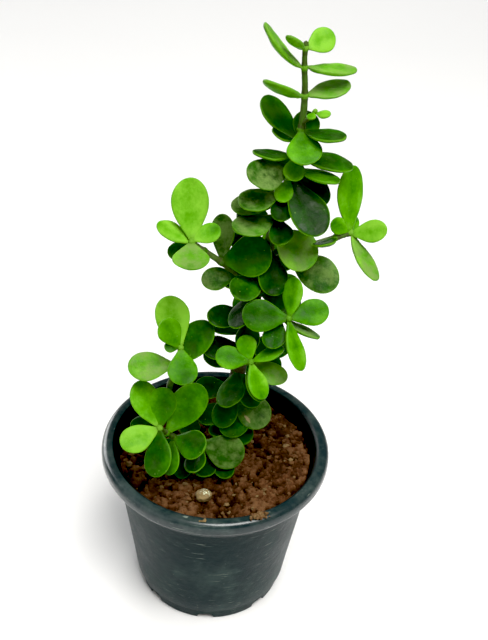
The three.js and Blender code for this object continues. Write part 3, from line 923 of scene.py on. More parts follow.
# ---- Pot, soil and grit -------------------------------------------------------------------------------


@dataclass
class Pot:
    """The nursery pot: one turned shell with a rolled rim, a ring band, a foot band and drain notches."""

    height: float = 122
    base_radius: float = 52.5
    neck_radius: float = 68.5
    wall: float = 2
    floor: float = 2.5
    rim_radius: float = 76
    rim_height: float = 9
    step_radius: float = 71.5
    step_drop: float = 7
    foot_height: float = 10
    foot_inset: float = 1.2
    segments: int = 224
    wobble: float = 0.22  # how far its mouth strays from round
    notches: int = 8
    notch_width: float = 11
    notch_height: float = 5
    notch_depth: float = 7  # how far the cutter reaches each side of the base's radius
    sharp_angle: float = 42  # degrees above which an edge is shaded sharp

    def body(self, z: float) -> float:
        """Outer radius of the tapered body at height `z`."""
        return self.base_radius + (self.neck_radius - self.base_radius) * z / self.height

    def inside(self, z: float) -> float:
        """Inner radius of the wall at height `z`."""
        return self.body(z) - self.wall

    def profile(self) -> list[Triple]:
        """The turned outline from the floor's underside round to its top.

        Returns:
            Its corners, as (radius, height, rounding).
        """
        rim_foot = self.height - self.rim_height
        step_foot = rim_foot - self.step_drop
        foot = self.body(self.foot_height)
        return [
            (0.0, 0.0, 0.0),
            (self.base_radius - 9, 0.0, 0.5),
            (self.base_radius - self.foot_inset, 0.0, 1.4),
            (foot - self.foot_inset, self.foot_height, 0.5),
            (foot + 0.4, self.foot_height + 1.2, 0.5),
            *((self.body(z), z, 3.0) for z in (30, 60, 84)),
            (self.body(step_foot) + 0.1, step_foot, 0.7),
            (self.step_radius, step_foot + 1.2, 0.6),
            (self.step_radius + 0.6, rim_foot + 0.5, 0.5),
            (self.rim_radius - 2.2, rim_foot - 1, 0.5),
            (self.rim_radius, rim_foot + 0.6, 1.2),
            (self.rim_radius, self.height - 2.6, 2.2),
            (self.rim_radius - 2.4, self.height, 2.4),
            (self.inside(self.height) + 2.4, self.height, 2.4),
            (self.inside(self.height), self.height - 3.2, 2.0),
            (self.inside(70), 70, 3.0),
            (self.inside(self.floor), self.floor, 1.0),
            (0.0, self.floor, 0.0),
        ]

    def outline(self) -> np.ndarray:
        """The turned outline with every corner rounded.

        Returns:
            Rows of (radius, height).
        """
        corners = self.profile()
        rows = []
        for before, corner, after in zip(corners, corners[1:], corners[2:]):
            here = np.array(corner[:2])
            back, ahead = np.array(before[:2]) - here, np.array(after[:2]) - here
            back *= min(corner[2], np.linalg.norm(back) * 0.45) / np.linalg.norm(back)
            ahead *= min(corner[2], np.linalg.norm(ahead) * 0.45) / np.linalg.norm(ahead)
            for share in (0, 0.25, 0.5, 0.75, 1):
                rows.append(here + back * (1 - share) ** 2 + ahead * share ** 2)
        return np.array(rows)

    def build(self, material: bpy.types.Material) -> bpy.types.Object:
        """Turns the shell, wobbles its mouth slightly as moulded plastic does, and cuts the notches.

        Args:
            material: its finish.

        Returns:
            The piece.
        """
        rows = self.outline()
        turn = round_turn(self.segments)
        rings = []
        for radius, z in rows:
            far = radius + self.wobble * smoothstep(z, 60, self.height) * np.cos(2 * turn + 0.7)
            level = np.full(self.segments, z)
            rings.append(np.stack([far * np.cos(turn), far * np.sin(turn), level], axis=1))
        points, faces = loft(np.array(rings), np.zeros(3), UP * self.floor)
        # Painted shade: the inner wall and floor are marked to be darkened to near black.
        depth = np.repeat(np.arange(len(rows)) > len(rows) * 0.8, self.segments).astype(float)
        foot_line = 0.6 * np.exp(-((rows[:, 1] - self.foot_height - 1.3) / 0.5) ** 2)
        rim = smoothstep(rows[:, 0], self.rim_radius - 8, self.rim_radius - 2)
        lip = np.repeat(np.maximum(rim, foot_line), self.segments)
        skin = Skin("inner", "lip")
        skin.add(points, faces, points, inner=np.append(depth, [0, 1]), lip=np.append(lip, [0, 0]))
        pot = skin.piece("pot_shell", material, "pot_plastic", "pot")
        self.cut_notches(pot)
        pot.data.set_sharp_from_angle(angle=math.radians(self.sharp_angle))
        return pot

    def notch_cutter(self) -> bpy.types.Object:
        """Makes one arched block for each notch.

        Returns:
            The blocks, as one object.
        """
        arch = [(-0.5, -1.0), (0.5, -1.0), (0.5, 0.45), (0.44, 0.74), (0.30, 0.93), (0.0, 1.0), (-0.30, 0.93),
                (-0.44, 0.74), (-0.5, 0.45)]
        points, faces = [], []
        size = len(arch)
        for turn in -math.pi / 2 + round_turn(self.notches):
            out = np.array([math.cos(turn), math.sin(turn), 0])
            side = np.array([-math.sin(turn), math.cos(turn), 0])
            start = len(points)
            for radius in (self.base_radius - self.notch_depth, self.base_radius + self.notch_depth):
                points += [
                    out * radius + side * u * self.notch_width + UP * v * self.notch_height for u, v in arch
                ]
            faces.append([start + k for k in range(size)][::-1])
            faces.append([start + size + k for k in range(size)])
            faces += [[start + k, start + (k + 1) % size, start + size + (k + 1) % size, start + size + k]
                      for k in range(size)]
        mesh = bpy.data.meshes.new("notch_cutter")
        mesh.from_pydata(np.array(points) * MM, [], faces)
        cutter = bpy.data.objects.new("notch_cutter", mesh)
        bpy.context.scene.collection.objects.link(cutter)
        return cutter

    def cut_notches(self, pot: bpy.types.Object) -> None:
        """Cuts the drain notches through the foot and leaves no modifier behind.

        Args:
            pot: the turned shell.
        """
        cutter = self.notch_cutter()
        cut = pot.modifiers.new("notches", "BOOLEAN")
        cut.operation, cut.solver, cut.object = "DIFFERENCE", "EXACT", cutter
        carved = bpy.data.meshes.new_from_object(pot.evaluated_get(bpy.context.evaluated_depsgraph_get()))
        pot.modifiers.clear()
        old, pot.data = pot.data, carved
        name = old.name
        bpy.data.meshes.remove(old)
        carved.name = name
        blocks = cutter.data
        bpy.data.objects.remove(cutter)
        bpy.data.meshes.remove(blocks)


@dataclass
class Soil:
    """The plug of crumbly soil, its top broken into angular clods with dark gaps, and loose crumbs on it."""

    pot: Pot
    level: float = 109
    foot: float = 2.8
    wall_gap: float = 0.7
    rings: int = 84
    spokes: int = 288
    clods: int = 3000
    crumbs: int = 700
    skew: float = 0.4  # how far a clod's square outline leans
    gap_depth: float = 2.8  # how far the gaps lie below the bed's level
    top: float = 2.4  # the highest a clod stands above it

    def heap_clods(self, dice: random.Random, radius: float) -> np.ndarray:
        """Strews the clods over the bed.

        Args:
            dice: the soil's random numbers.
            radius: the bed's radius.

        Returns:
            A row for each clod: x, y, size, lift, and the slope of its top in x and y.
        """
        heaps = []
        for _ in range(self.clods):
            far = radius * math.sqrt(dice.random())
            turn = dice.uniform(0, 2 * math.pi)
            size = 0.8 + 2.4 * dice.random() ** 1.8
            slope, way = dice.uniform(0.2, 1.1), dice.uniform(0, 2 * math.pi)
            heaps.append((far * math.cos(turn), far * math.sin(turn), size, dice.uniform(-2.0, 1.0),
                          slope * math.cos(way), slope * math.sin(way)))
        return np.array(heaps)

    @staticmethod
    def warp(spots: list[Vector], waves: float) -> np.ndarray:
        """How far each place is pushed sideways, so that no clod is regular.

        Args:
            spots: the places.
            waves: how closely the pushes change, per millimetre.

        Returns:
            Rows of (x, y), from -1 to 1.
        """
        aside = Vector((9.3, -1.5, -8.0))  # another part of the noise
        return np.array([(noise.noise(spot * waves + aside), noise.noise(spot * waves)) for spot in spots])

    def surface(self, x: np.ndarray, y: np.ndarray, heaps: np.ndarray) -> np.ndarray:
        """Height of the soil: the highest clod at each place over a gently rolling bed.

        Args:
            x: the places' x.
            y: the places' y.
            heaps: the clods.

        Returns:
            The height at each place.
        """
        spots = [Vector((a, b, 0)) for a, b in zip(x, y)]
        roll = np.array([noise.noise(spot * 0.035) for spot in spots])
        warp = self.warp(spots, 0.28) * 1.5 + self.warp(spots, 0.9) * 0.7
        fine = np.array([noise.hetero_terrain(spot * 0.55, 0.7, 2.2, 4, 0.4) for spot in spots])
        dx, dy = (x + warp[:, 0])[:, None] - heaps[:, 0], (y + warp[:, 1])[:, None] - heaps[:, 1]
        size = heaps[:, 2]
        square = np.maximum(np.abs(dx + self.skew * dy), np.abs(dy - self.skew * dx)) / size
        away = 0.6 * square + 0.4 * np.sqrt(dx ** 2 + dy ** 2) / size
        tilt = dx * heaps[:, 4] + dy * heaps[:, 5]
        clod = np.clip(1 - away ** 2, 0, None) ** 0.30 * size * 0.55 + heaps[:, 3] + 0.45 * tilt - 0.8
        clod = np.where(away < 1, clod, -self.gap_depth).max(axis=1)
        return self.level + 1.4 * roll + np.clip(clod, -self.gap_depth, self.top) + 0.9 * (fine - 0.4)

    def scatter_crumbs(self, skin: Skin, dice: random.Random, radius: float, heaps: np.ndarray) -> None:
        """Drops loose crumbs on the bed, most of them tiny.

        Args:
            skin: the soil's mesh so far.
            dice: the soil's random numbers.
            radius: the bed's radius.
            heaps: the clods.
        """
        for _ in range(self.crumbs):
            far = (radius - 3) * math.sqrt(dice.random())
            turn = dice.uniform(0, 2 * math.pi)
            x, y = far * math.cos(turn), far * math.sin(turn)
            size = 0.7 + 3.2 * dice.random() ** 3
            top = float(self.surface(np.array([x]), np.array([y]), heaps)[0])
            box = (size * dice.uniform(0.9, 1.5), size, size * dice.uniform(0.6, 0.9))
            points, faces = Lump(box, 0.75).make(dice, np.array([x, y, top + size * 0.05]))
            # Crumbs are marked high, so the painted gap shade leaves them light.
            skin.add(points, faces, points, height=1.0 + 0.3 * size, tint=dice.random())

    def build(self, material: bpy.types.Material) -> bpy.types.Object:
        """Builds the plug and its crumbs as one piece.

        Args:
            material: its finish.

        Returns:
            The piece.
        """
        dice = random.Random("soil")
        radius = self.pot.inside(self.level) - self.wall_gap
        heaps = self.heap_clods(dice, radius)
        turn = round_turn(self.spokes)
        low = self.pot.inside(self.foot) - self.wall_gap
        hoops = [np.stack([low * np.cos(turn), low * np.sin(turn), np.full(self.spokes, self.foot)], axis=1)]
        tops = [np.full(self.spokes, 0.5)]
        for share in np.linspace(1, 1 / self.rings, self.rings):
            x, y = radius * share * np.cos(turn), radius * share * np.sin(turn)
            height = self.surface(x, y, heaps)
            hoops.append(np.stack([x, y, height], axis=1))
            tops.append(height - self.level)
        centre = np.array([0, 0, float(hoops[-1][:, 2].mean())])
        points, faces = loft(np.array(hoops), UP * self.foot, centre)
        skin = Skin("height", "tint")
        # The height mark drives the finish's painted shade: lower is darker.
        skin.add(points, faces, points, height=np.concatenate([*tops, [0.5, 0.5]]), tint=0.5)
        self.scatter_crumbs(skin, dice, radius, heaps)
        return skin.piece("soil_bed", material, "soil", "soil")


@dataclass
class Pebble:
    """The tan pebble at the front of the soil, pitted, with a painted highlight of pale glints on its upper
    right.
    """

    size: Triple = (11, 9, 7)
    foot: Triple = (-5, -44, 111.7)
    rings: int = 22
    pit_waves: float = 0.9
    pit_depth: float = 0.05
    glint_way: Triple = (0.35, 0.1, 1.0)

    def build(self, material: bpy.types.Material) -> bpy.types.Object:
        """Builds the pebble.

        Args:
            material: its finish.

        Returns:
            The piece.
        """
        centre = np.array(self.foot) + UP * self.size[2] / 2
        points, faces = Lump(self.size, 0.22, self.rings).make(random.Random("pebble"), centre)
        pits = np.array([noise.noise(Vector(point) * self.pit_waves) for point in points])
        points = centre + (points - centre) * (1 + self.pit_depth * pits)[:, None]
        out = (points - centre) / (np.array(self.size) / 2)
        # Painted highlight: the side facing up and to the right is marked for pale glints.
        glint = smoothstep(out @ unit(np.array(self.glint_way)), 0.50, 0.90)
        skin = Skin("glint")
        skin.add(points, faces, points, glint=glint)
        return skin.piece("pebble_stone", material, "grit", "pebble")


@dataclass
class RimCrumb:
    """The flat cluster of gritty soil lying on the front of the rim, and the pale crumb left of it."""

    size: Triple = (13, 5, 3)
    foot: Triple = (30, -65.5, 122.3)
    pale_foot: Triple = (-3.5, -71.5, 122.2)
    grains: int = 60
    pale_grains: int = 9
    rough: float = 0.4
    rings: int = 6

    def build(self, material: bpy.types.Material) -> bpy.types.Object:
        """Builds the cluster out of touching grains.

        Args:
            material: its finish.

        Returns:
            The piece.
        """
        dice = random.Random("rim crumb")
        skin = Skin("height", "tint")
        foot = np.array(self.foot)
        turn = math.atan2(foot[1], foot[0]) + math.pi / 2
        run, out = np.array([math.cos(turn), math.sin(turn), 0]), unit(foot * np.array([1, 1, 0]))
        for _ in range(self.grains):
            u, v = dice.gauss(0, 0.42), dice.gauss(0, 0.4)
            u, v = max(-1, min(1, u)), max(-1, min(1, v))
            grain = dice.uniform(0.9, 2.2)
            rise = (self.size[2] - grain) * max(0.0, 1 - u * u - v * v) * dice.random()
            centre = foot + run * u * self.size[0] / 2 + out * v * self.size[1] / 2
            centre = centre + UP * (grain * 0.42 + rise)
            box = (grain * 1.2, grain, grain * 0.85)
            points, faces = Lump(box, self.rough, self.rings).make(dice, centre)
            # Grains are marked high, so the painted gap shade leaves them light.
            skin.add(points, faces, points, height=1.4 + rise, tint=0.6 + 0.4 * dice.random())
        for _ in range(self.pale_grains):
            shift = np.array([dice.uniform(-2.4, 2.4), dice.uniform(-0.9, 0.9), 0.4])
            centre = np.array(self.pale_foot) + shift
            points, faces = Lump((1.5, 1.2, 0.9), self.rough, self.rings).make(dice, centre)
            skin.add(points, faces, points, height=2.0, tint=1.25)
        return skin.piece("rim_crumb_grains", material, "soil", "rim_crumb")


# ---- Shader groups shared by the finishes -------------------------------------------------------------


class Board:
    """Short ways to add and join shader nodes on one tree."""

    def __init__(self, tree: Tree) -> None:
        """Keeps the node tree to work on."""
        self.tree = tree

    def add(self, kind: str, **settings: object) -> bpy.types.Node:
        """Adds a node.

        Args:
            kind: its type, without the words ShaderNode.
            settings: its own settings.

        Returns:
            The node.
        """
        node = self.tree.nodes.new(f"ShaderNode{kind}")
        for name, value in settings.items():
            setattr(node, name, value)
        return node

    def feed(self, target: Socket, value: object) -> None:
        """Links a socket into another, or sets it to a plain value.

        Args:
            target: the socket to fill.
            value: a socket or a plain value.
        """
        if isinstance(value, Socket):
            self.tree.links.new(value, target)
        else:
            target.default_value = value

    def fill(self, node: bpy.types.Node, **inputs: object) -> bpy.types.Node:
        """Feeds a node's named inputs.

        Args:
            node: the node.
            inputs: sockets or plain values, whose names use _ for a space.

        Returns:
            The same node.
        """
        for name, value in inputs.items():
            self.feed(node.inputs[name.replace("_", " ")], value)
        return node

    def math(self, operation: str, first: object, second: object = 0.5, clamp: bool = False) -> Socket:
        """One Math node.

        Args:
            operation: what it works out.
            first: its first number.
            second: its second number.
            clamp: whether the result is held between 0 and 1.

        Returns:
            The result.
        """
        node = self.add("Math", operation=operation, use_clamp=clamp)
        self.feed(node.inputs[0], first)
        self.feed(node.inputs[1], second)
        return node.outputs[0]

    def plus(self, first: object, second: object) -> Socket:
        """The sum of two numbers."""
        return self.math("ADD", first, second)

    def times(self, first: object, second: object) -> Socket:
        """The product of two numbers."""
        return self.math("MULTIPLY", first, second)

    def swing(self, value: object, gain: object) -> Socket:
        """A number round 0.5 turned into one round 0 and multiplied by `gain`."""
        return self.times(self.math("SUBTRACT", value, 0.5), gain)

    def remap(self, value: object, low: float, high: float, start: float = 0.0, end: float = 1.0) -> Socket:
        """A clamped, smooth Map Range.

        Args:
            value: the number to map.
            low: where the incoming range starts.
            high: where it ends.
            start: the result at `low` and below.
            end: the result at `high` and above.

        Returns:
            The result.
        """
        node = self.add("MapRange", interpolation_type="SMOOTHSTEP")
        return self.fill(node, Value=value, From_Min=low, From_Max=high, To_Min=start, To_Max=end).outputs[0]

    def mix(self, share: object, first: object, second: object) -> Socket:
        """A colour mix.

        Args:
            share: how much of the second colour, from 0 to 1.
            first: the first colour.
            second: the second colour.

        Returns:
            The mixed colour.
        """
        node = self.add("Mix", data_type="RGBA")
        for place, value in (("Factor_Float", share), ("A_Color", first), ("B_Color", second)):
            self.feed(next(socket for socket in node.inputs if socket.identifier == place), value)
        return next(socket for socket in node.outputs if socket.identifier == "Result_Color")

    def ramp(self, value: object, *stops: tuple[float, Triple]) -> Socket:
        """A colour ramp.

        Args:
            value: the place on the ramp.
            stops: the places and colours it runs through.

        Returns:
            The colour.
        """
        node = self.add("ValToRGB")
        band = node.color_ramp.elements
        while len(band) < len(stops):
            band.new(0.5)
        for element, (place, colour) in zip(band, stops):
            element.position = place
            element.color = (*colour, 1)
        return self.fill(node, Fac=value).outputs["Color"]

    def noise(self, where: object, scale: object, detail: float = 4, rough: float = 0.55) -> Socket:
        """A noise pattern from 0 to 1.

        Args:
            where: the position it follows.
            scale: its waves per unit.
            detail: how many finer layers it has.
            rough: how strong the finer layers are.

        Returns:
            The pattern.
        """
        node = self.add("TexNoise")
        return self.fill(node, Vector=where, Scale=scale, Detail=detail, Roughness=rough).outputs["Fac"]

    def mark(self, name: str, output: str = "Fac") -> Socket:
        """A mark kept on the mesh."""
        return self.add("Attribute", attribute_name=name).outputs[output]

    def stretch(self, where: object, scale: Triple) -> Socket:
        """The position stretched by `scale`."""
        return self.fill(self.add("Mapping"), Vector=where, Scale=scale).outputs["Vector"]


class Group:
    """A shader node group with named inputs and one named output, a plain number."""

    def __init__(self, name: str, result: str, **inputs: float | None) -> None:
        """Makes the empty group.

        Args:
            name: the group's name.
            result: the output's name.
            inputs: each input's name and its default: a number, or None for a vector.
        """
        self.tree = bpy.data.node_groups.new(name, "ShaderNodeTree")
        for label, default in inputs.items():
            kind = "NodeSocketVector" if default is None else "NodeSocketFloat"
            socket = self.tree.interface.new_socket(name=label, in_out="INPUT", socket_type=kind)
            if default is not None:
                socket.default_value = default
        self.tree.interface.new_socket(name=result, in_out="OUTPUT", socket_type="NodeSocketFloat")
        self.board = Board(self.tree)
        self.inputs = self.tree.nodes.new("NodeGroupInput").outputs
        self.drain = self.tree.nodes.new("NodeGroupOutput")

    def close(self, socket: Socket) -> Tree:
        """Sends a socket to the output and gives the finished group."""
        self.tree.links.new(socket, self.drain.inputs[0])
        return self.tree


@dataclass
class Effects:
    """The shader groups that several finishes share, each built once."""

    mottle: Tree = field(init=False)
    specks: Tree = field(init=False)
    settled_dust: Tree = field(init=False)
    skin_grain: Tree = field(init=False)

    def __post_init__(self) -> None:
        """Builds every group."""
        self.mottle = self.build_mottle()
        self.specks = self.build_specks()
        self.settled_dust = self.build_settled_dust()
        self.skin_grain = self.build_skin_grain()

    @staticmethod
    def build_mottle() -> Tree:
        """Cloudy light and dark patches, with a finer break-up on top.

        Returns:
            The group.
        """
        group = Group("Mottle", "Mask", Vector=None, Scale=0.2, Contrast=0.25)
        board, source = group.board, group.inputs
        broad = board.noise(source["Vector"], source["Scale"], 3)
        fine = board.noise(source["Vector"], board.times(source["Scale"], 5.3), 5, 0.65)
        spread = board.swing(board.plus(board.times(broad, 0.7), board.times(fine, 0.3)), source["Contrast"])
        return group.close(board.math("ADD", board.times(spread, 4), 0.5, clamp=True))

    @staticmethod
    def build_specks() -> Tree:
        """Scattered round dots of uneven size.

        Returns:
            The group.
        """
        group = Group("Specks", "Mask", Vector=None, Scale=0.5, Size=0.2, Share=0.5)
        board, source = group.board, group.inputs
        cells = board.add("TexVoronoi", feature="F1")
        board.fill(cells, Vector=source["Vector"], Scale=source["Scale"])
        pick = board.fill(board.add("SeparateColor"), Color=cells.outputs["Color"]).outputs
        size = board.times(source["Size"], board.plus(pick[1], 0.35))
        dot = board.math("SUBTRACT", 1, board.math("DIVIDE", cells.outputs["Distance"], size), clamp=True)
        kept = board.math("LESS_THAN", pick[0], source["Share"])
        return group.close(board.times(board.math("SQRT", dot), kept))

    @staticmethod
    def build_settled_dust() -> Tree:
        """Dust that lies on what faces up, in uneven drifts.

        Returns:
            The group.
        """
        group = Group("Settled dust", "Mask", Vector=None, Scale=0.3, Amount=0.5)
        board, source = group.board, group.inputs
        normal = board.fill(board.add("SeparateXYZ"), Vector=board.add("NewGeometry").outputs["Normal"])
        facing = board.remap(normal.outputs["Z"], -0.35, 0.75)
        drift = board.remap(board.noise(source["Vector"], source["Scale"], 5, 0.65), 0.36, 0.66)
        cover = board.times(facing, board.plus(board.times(drift, 1.1), 0.1))
        return group.close(board.math("MULTIPLY", cover, source["Amount"], clamp=True))

    @staticmethod
    def build_skin_grain() -> Tree:
        """The fine uneven skin of a plant, of soil or of moulded plastic, as a height.

        Returns:
            The group.
        """
        group = Group("Skin grain", "Height", Vector=None, Scale=1.0, Lumps=0.5)
        board, source = group.board, group.inputs
        fine = board.noise(source["Vector"], source["Scale"], 6, 0.7)
        broad = board.noise(source["Vector"], board.times(source["Scale"], 0.18), 2)
        return group.close(board.plus(fine, board.times(broad, source["Lumps"])))


# ---- Finishes -----------------------------------------------------------------------------------------


class Finish:
    """A material whose skin colour is laid on layer by layer."""

    def __init__(
        self, name: str, effects: Effects, skin: Triple | None = None, follows: str = "grain",
    ) -> None:
        """Starts the material.

        Args:
            name: its name.
            effects: the shared groups.
            skin: its first colour, or None where a ramp gives it.
            follows: what its patterns follow: the mesh's grain or a texture coordinate.
        """
        self.material = bpy.data.materials.new(name)
        self.material.use_nodes = True
        self.effects = effects
        self.board = Board(self.material.node_tree)
        self.surface = self.material.node_tree.nodes["Principled BSDF"]
        if follows == "grain":
            self.grain = self.board.mark(follows, "Vector")
        else:
            self.grain = self.board.add("TexCoord").outputs[follows]
        self.skin: object = None if skin is None else (*skin, 1)

    def effect(self, tree: Tree, **inputs: object) -> Socket:
        """Places a shared group on the grain.

        Args:
            tree: the group.
            inputs: its input values.

        Returns:
            The group's output.
        """
        node = self.board.add("Group", node_tree=tree)
        return self.board.fill(node, Vector=self.grain, **inputs).outputs[0]

    def mottle(self, scale: float, contrast: float) -> Socket:
        """Cloudy patches from 0 to 1."""
        return self.effect(self.effects.mottle, Scale=scale, Contrast=contrast)

    def specks(self, scale: float, size: float, share: float) -> Socket:
        """Scattered dots."""
        return self.effect(self.effects.specks, Scale=scale, Size=size, Share=share)

    def dust(self, scale: float, amount: object) -> Socket:
        """Dust lying on what faces up."""
        return self.effect(self.effects.settled_dust, Scale=scale, Amount=amount)

    def lay(self, share: object, colour: Triple) -> None:
        """Lays a colour over the skin, by `share`."""
        self.skin = self.board.mix(share, self.skin, (*colour, 1))

    def close(self, scale: float, lumps: float, depth: float, **sockets: object) -> bpy.types.Material:
        """Joins everything to the surface shader.

        Args:
            scale: waves per millimetre of its fine relief.
            lumps: how strong the broader lumps in the relief are.
            depth: the relief's height in metres, 0 for none.
            sockets: the surface shader's other sockets, whose names use _ for a space.

        Returns:
            The material.
        """
        self.board.fill(self.surface, Base_Color=self.skin, **sockets)
        if depth:
            height = self.effect(self.effects.skin_grain, Scale=scale, Lumps=lumps)
            bump = self.board.fill(self.board.add("Bump"), Distance=depth, Strength=1.0, Height=height)
            self.board.feed(self.surface.inputs["Normal"], bump.outputs["Normal"])
        return self.material


@dataclass(frozen=True)
class LeafFinish:
    """The satin skin of a succulent leaf: its shade, pale rim, specks, mottling, dust and dry scars, with
    painted shade along its middle and at its base by the stem.
    """

    name: str
    rim: float  # how strongly the rim shows
    freckle: float  # how strongly the pale specks show
    contrast: float  # of its mottling
    dust: float
    rough: float
    shades: tuple[tuple[float, Triple], ...] = (
        (0.0, (0.180, 0.430, 0.032)),
        (0.22, (0.088, 0.300, 0.008)),
        (0.45, (0.034, 0.165, 0.002)),
        # The two darkest stops are partly painted shade: the near-black green of leaves deep in the foliage.
        (0.70, (0.010, 0.072, 0.0015)),
        (1.0, (0.003, 0.022, 0.001)),
    )
    underside: Triple = (0.075, 0.220, 0.012)
    rim_line: Triple = (0.120, 0.330, 0.015)
    speck: Triple = (0.260, 0.440, 0.090)
    bloom: Triple = (0.170, 0.270, 0.070)
    # stalk: painted shade, the dark olive laid on the leaf's base where it meets the stem.
    stalk: Triple = (0.075, 0.120, 0.020)
    dry: Triple = (0.430, 0.360, 0.170)

    def make(self, effects: Effects) -> bpy.types.Material:
        """Makes the material.

        Args:
            effects: the shared groups.

        Returns:
            The material.
        """
        finish = Finish(self.name, effects)
        board = finish.board
        cloud = finish.mottle(0.11, self.contrast)
        shade = board.plus(board.mark("shade"), board.swing(cloud, 0.46))
        sideways = board.math("ABSOLUTE", board.mark("side"))
        # Darker along the middle, lighter towards the edges: partly painted shade on the middle, partly the
        # leaf's own paler edges.
        shade = board.plus(shade, board.remap(sideways, 0.0, 0.8, 0.07, -0.07))
        shade = board.plus(shade, board.remap(board.mark("share"), 0.0, 0.4, -0.10, 0.02))
        finish.skin = board.ramp(shade, *self.shades)
        finish.lay(board.remap(board.mark("face"), -0.3, 0.3, 0.32, 0.0), self.underside)
        finish.lay(board.times(board.mark("rim"), self.rim), self.rim_line)
        finish.lay(board.times(finish.specks(0.45, 0.17, 0.22), self.freckle), self.speck)
        bloom = finish.dust(0.12, board.times(board.mark("dust"), self.dust))
        finish.lay(bloom, self.bloom)
        # Painted shade: the leaf's base darkened where it meets the stem.
        finish.lay(board.remap(board.mark("share"), 0.0, 0.16, 0.35, 0.0), self.stalk)
        ragged = board.plus(board.mark("scar"), board.times(board.noise(finish.grain, 0.9, 4, 0.7), 0.5))
        finish.lay(board.remap(ragged, 0.70, 0.85), self.dry)
        gloss = board.plus(board.times(cloud, 0.16), self.rough - 0.08)
        return finish.close(
            1.5, 3.0, 0.00012,
            Roughness=board.plus(gloss, board.times(bloom, 0.3)),
            Specular_IOR_Level=0.05,
            Coat_Weight=board.remap(cloud, 0.52, 0.85, 0.0, 0.13),
            Coat_Roughness=0.28,
        )


@dataclass(frozen=True)
class StemFinish:
    """Stem skin that runs from brown bark to olive green, with darker streaks and scar rings."""

    name: str
    bark: Triple
    flesh: Triple
    rough: float
    streak: Triple = (0.030, 0.022, 0.012)
    scar: Triple = (0.040, 0.026, 0.014)
    dusty: Triple = (0.240, 0.240, 0.130)

    def make(self, effects: Effects) -> bpy.types.Material:
        """Makes the material.

        Args:
            effects: the shared groups.

        Returns:
            The material.
        """
        finish = Finish(self.name, effects, self.flesh)
        board = finish.board
        cloud = finish.mottle(0.35, 0.5)
        brown = board.plus(board.mark("brown"), board.swing(cloud, 0.6))
        finish.lay(board.remap(brown, 0.15, 0.85), self.bark)
        streak = board.noise(board.stretch(finish.grain, (1.0, 1.0, 0.3)), 1.6, 4, 0.7)
        finish.lay(board.remap(streak, 0.35, 0.7, 0.0, 0.45), self.streak)
        finish.lay(board.times(board.mark("scar"), 0.55), self.scar)
        finish.lay(finish.dust(0.5, 0.18), self.dusty)
        gloss = board.remap(cloud, 0, 1, self.rough, self.rough + 0.2)
        return finish.close(1.4, 1.0, 0.00035, Roughness=gloss, Specular_IOR_Level=0.12)


@dataclass(frozen=True)
class PotFinish:
    """Dark slate moulded plastic: cloudy scuffs, fine scratches, a little dust, and painted shade darkening
    it to near black inside.
    """

    name: str = "pot_plastic_moulded"
    slate: Triple = (0.006, 0.017, 0.021)
    worn: Triple = (0.056, 0.084, 0.078)
    dusty: Triple = (0.200, 0.240, 0.200)
    # The near-black painted shade inside the pot.
    painted_hollow_shade: Triple = (0.002, 0.003, 0.005)

    def make(self, effects: Effects) -> bpy.types.Material:
        """Makes the material.

        Args:
            effects: the shared groups.

        Returns:
            The material.
        """
        finish = Finish(self.name, effects, self.slate)
        board, grain = finish.board, finish.grain
        cloud = finish.mottle(0.028, 0.75)
        finish.lay(board.remap(cloud, 0.35, 0.95, 0.0, 0.45), self.worn)
        rub = board.noise(board.stretch(grain, (0.25, 0.25, 1.1)), 0.30, 6, 0.75)
        rub = board.times(board.remap(rub, 0.56, 0.74), board.remap(cloud, 0.3, 0.7, 0.15, 1.0))
        finish.lay(board.times(rub, 0.85), self.worn)
        nick = board.noise(board.stretch(grain, (0.16, 0.16, 2.2)), 0.55, 3, 0.5)
        patch = board.remap(board.noise(grain, 0.05, 2), 0.44, 0.60)
        finish.lay(board.times(board.times(board.remap(nick, 0.635, 0.70), patch), 0.75), self.dusty)
        finish.lay(board.times(finish.specks(0.35, 0.16, 0.22), 0.35), self.dusty)
        finish.lay(finish.dust(0.12, 0.10), self.dusty)
        # Painted shade: the inside of the pot darkened to near black.
        finish.lay(board.times(board.mark("inner"), 0.9), self.painted_hollow_shade)
        return finish.close(
            0.9, 2.0, 0.00014,
            Roughness=board.remap(cloud, 0, 1, 0.30, 0.50),
            Specular_IOR_Level=0.06,
            Coat_Weight=board.remap(board.mark("lip"), 0, 1, 0.05, 0.8),
            Coat_Roughness=0.22,
        )


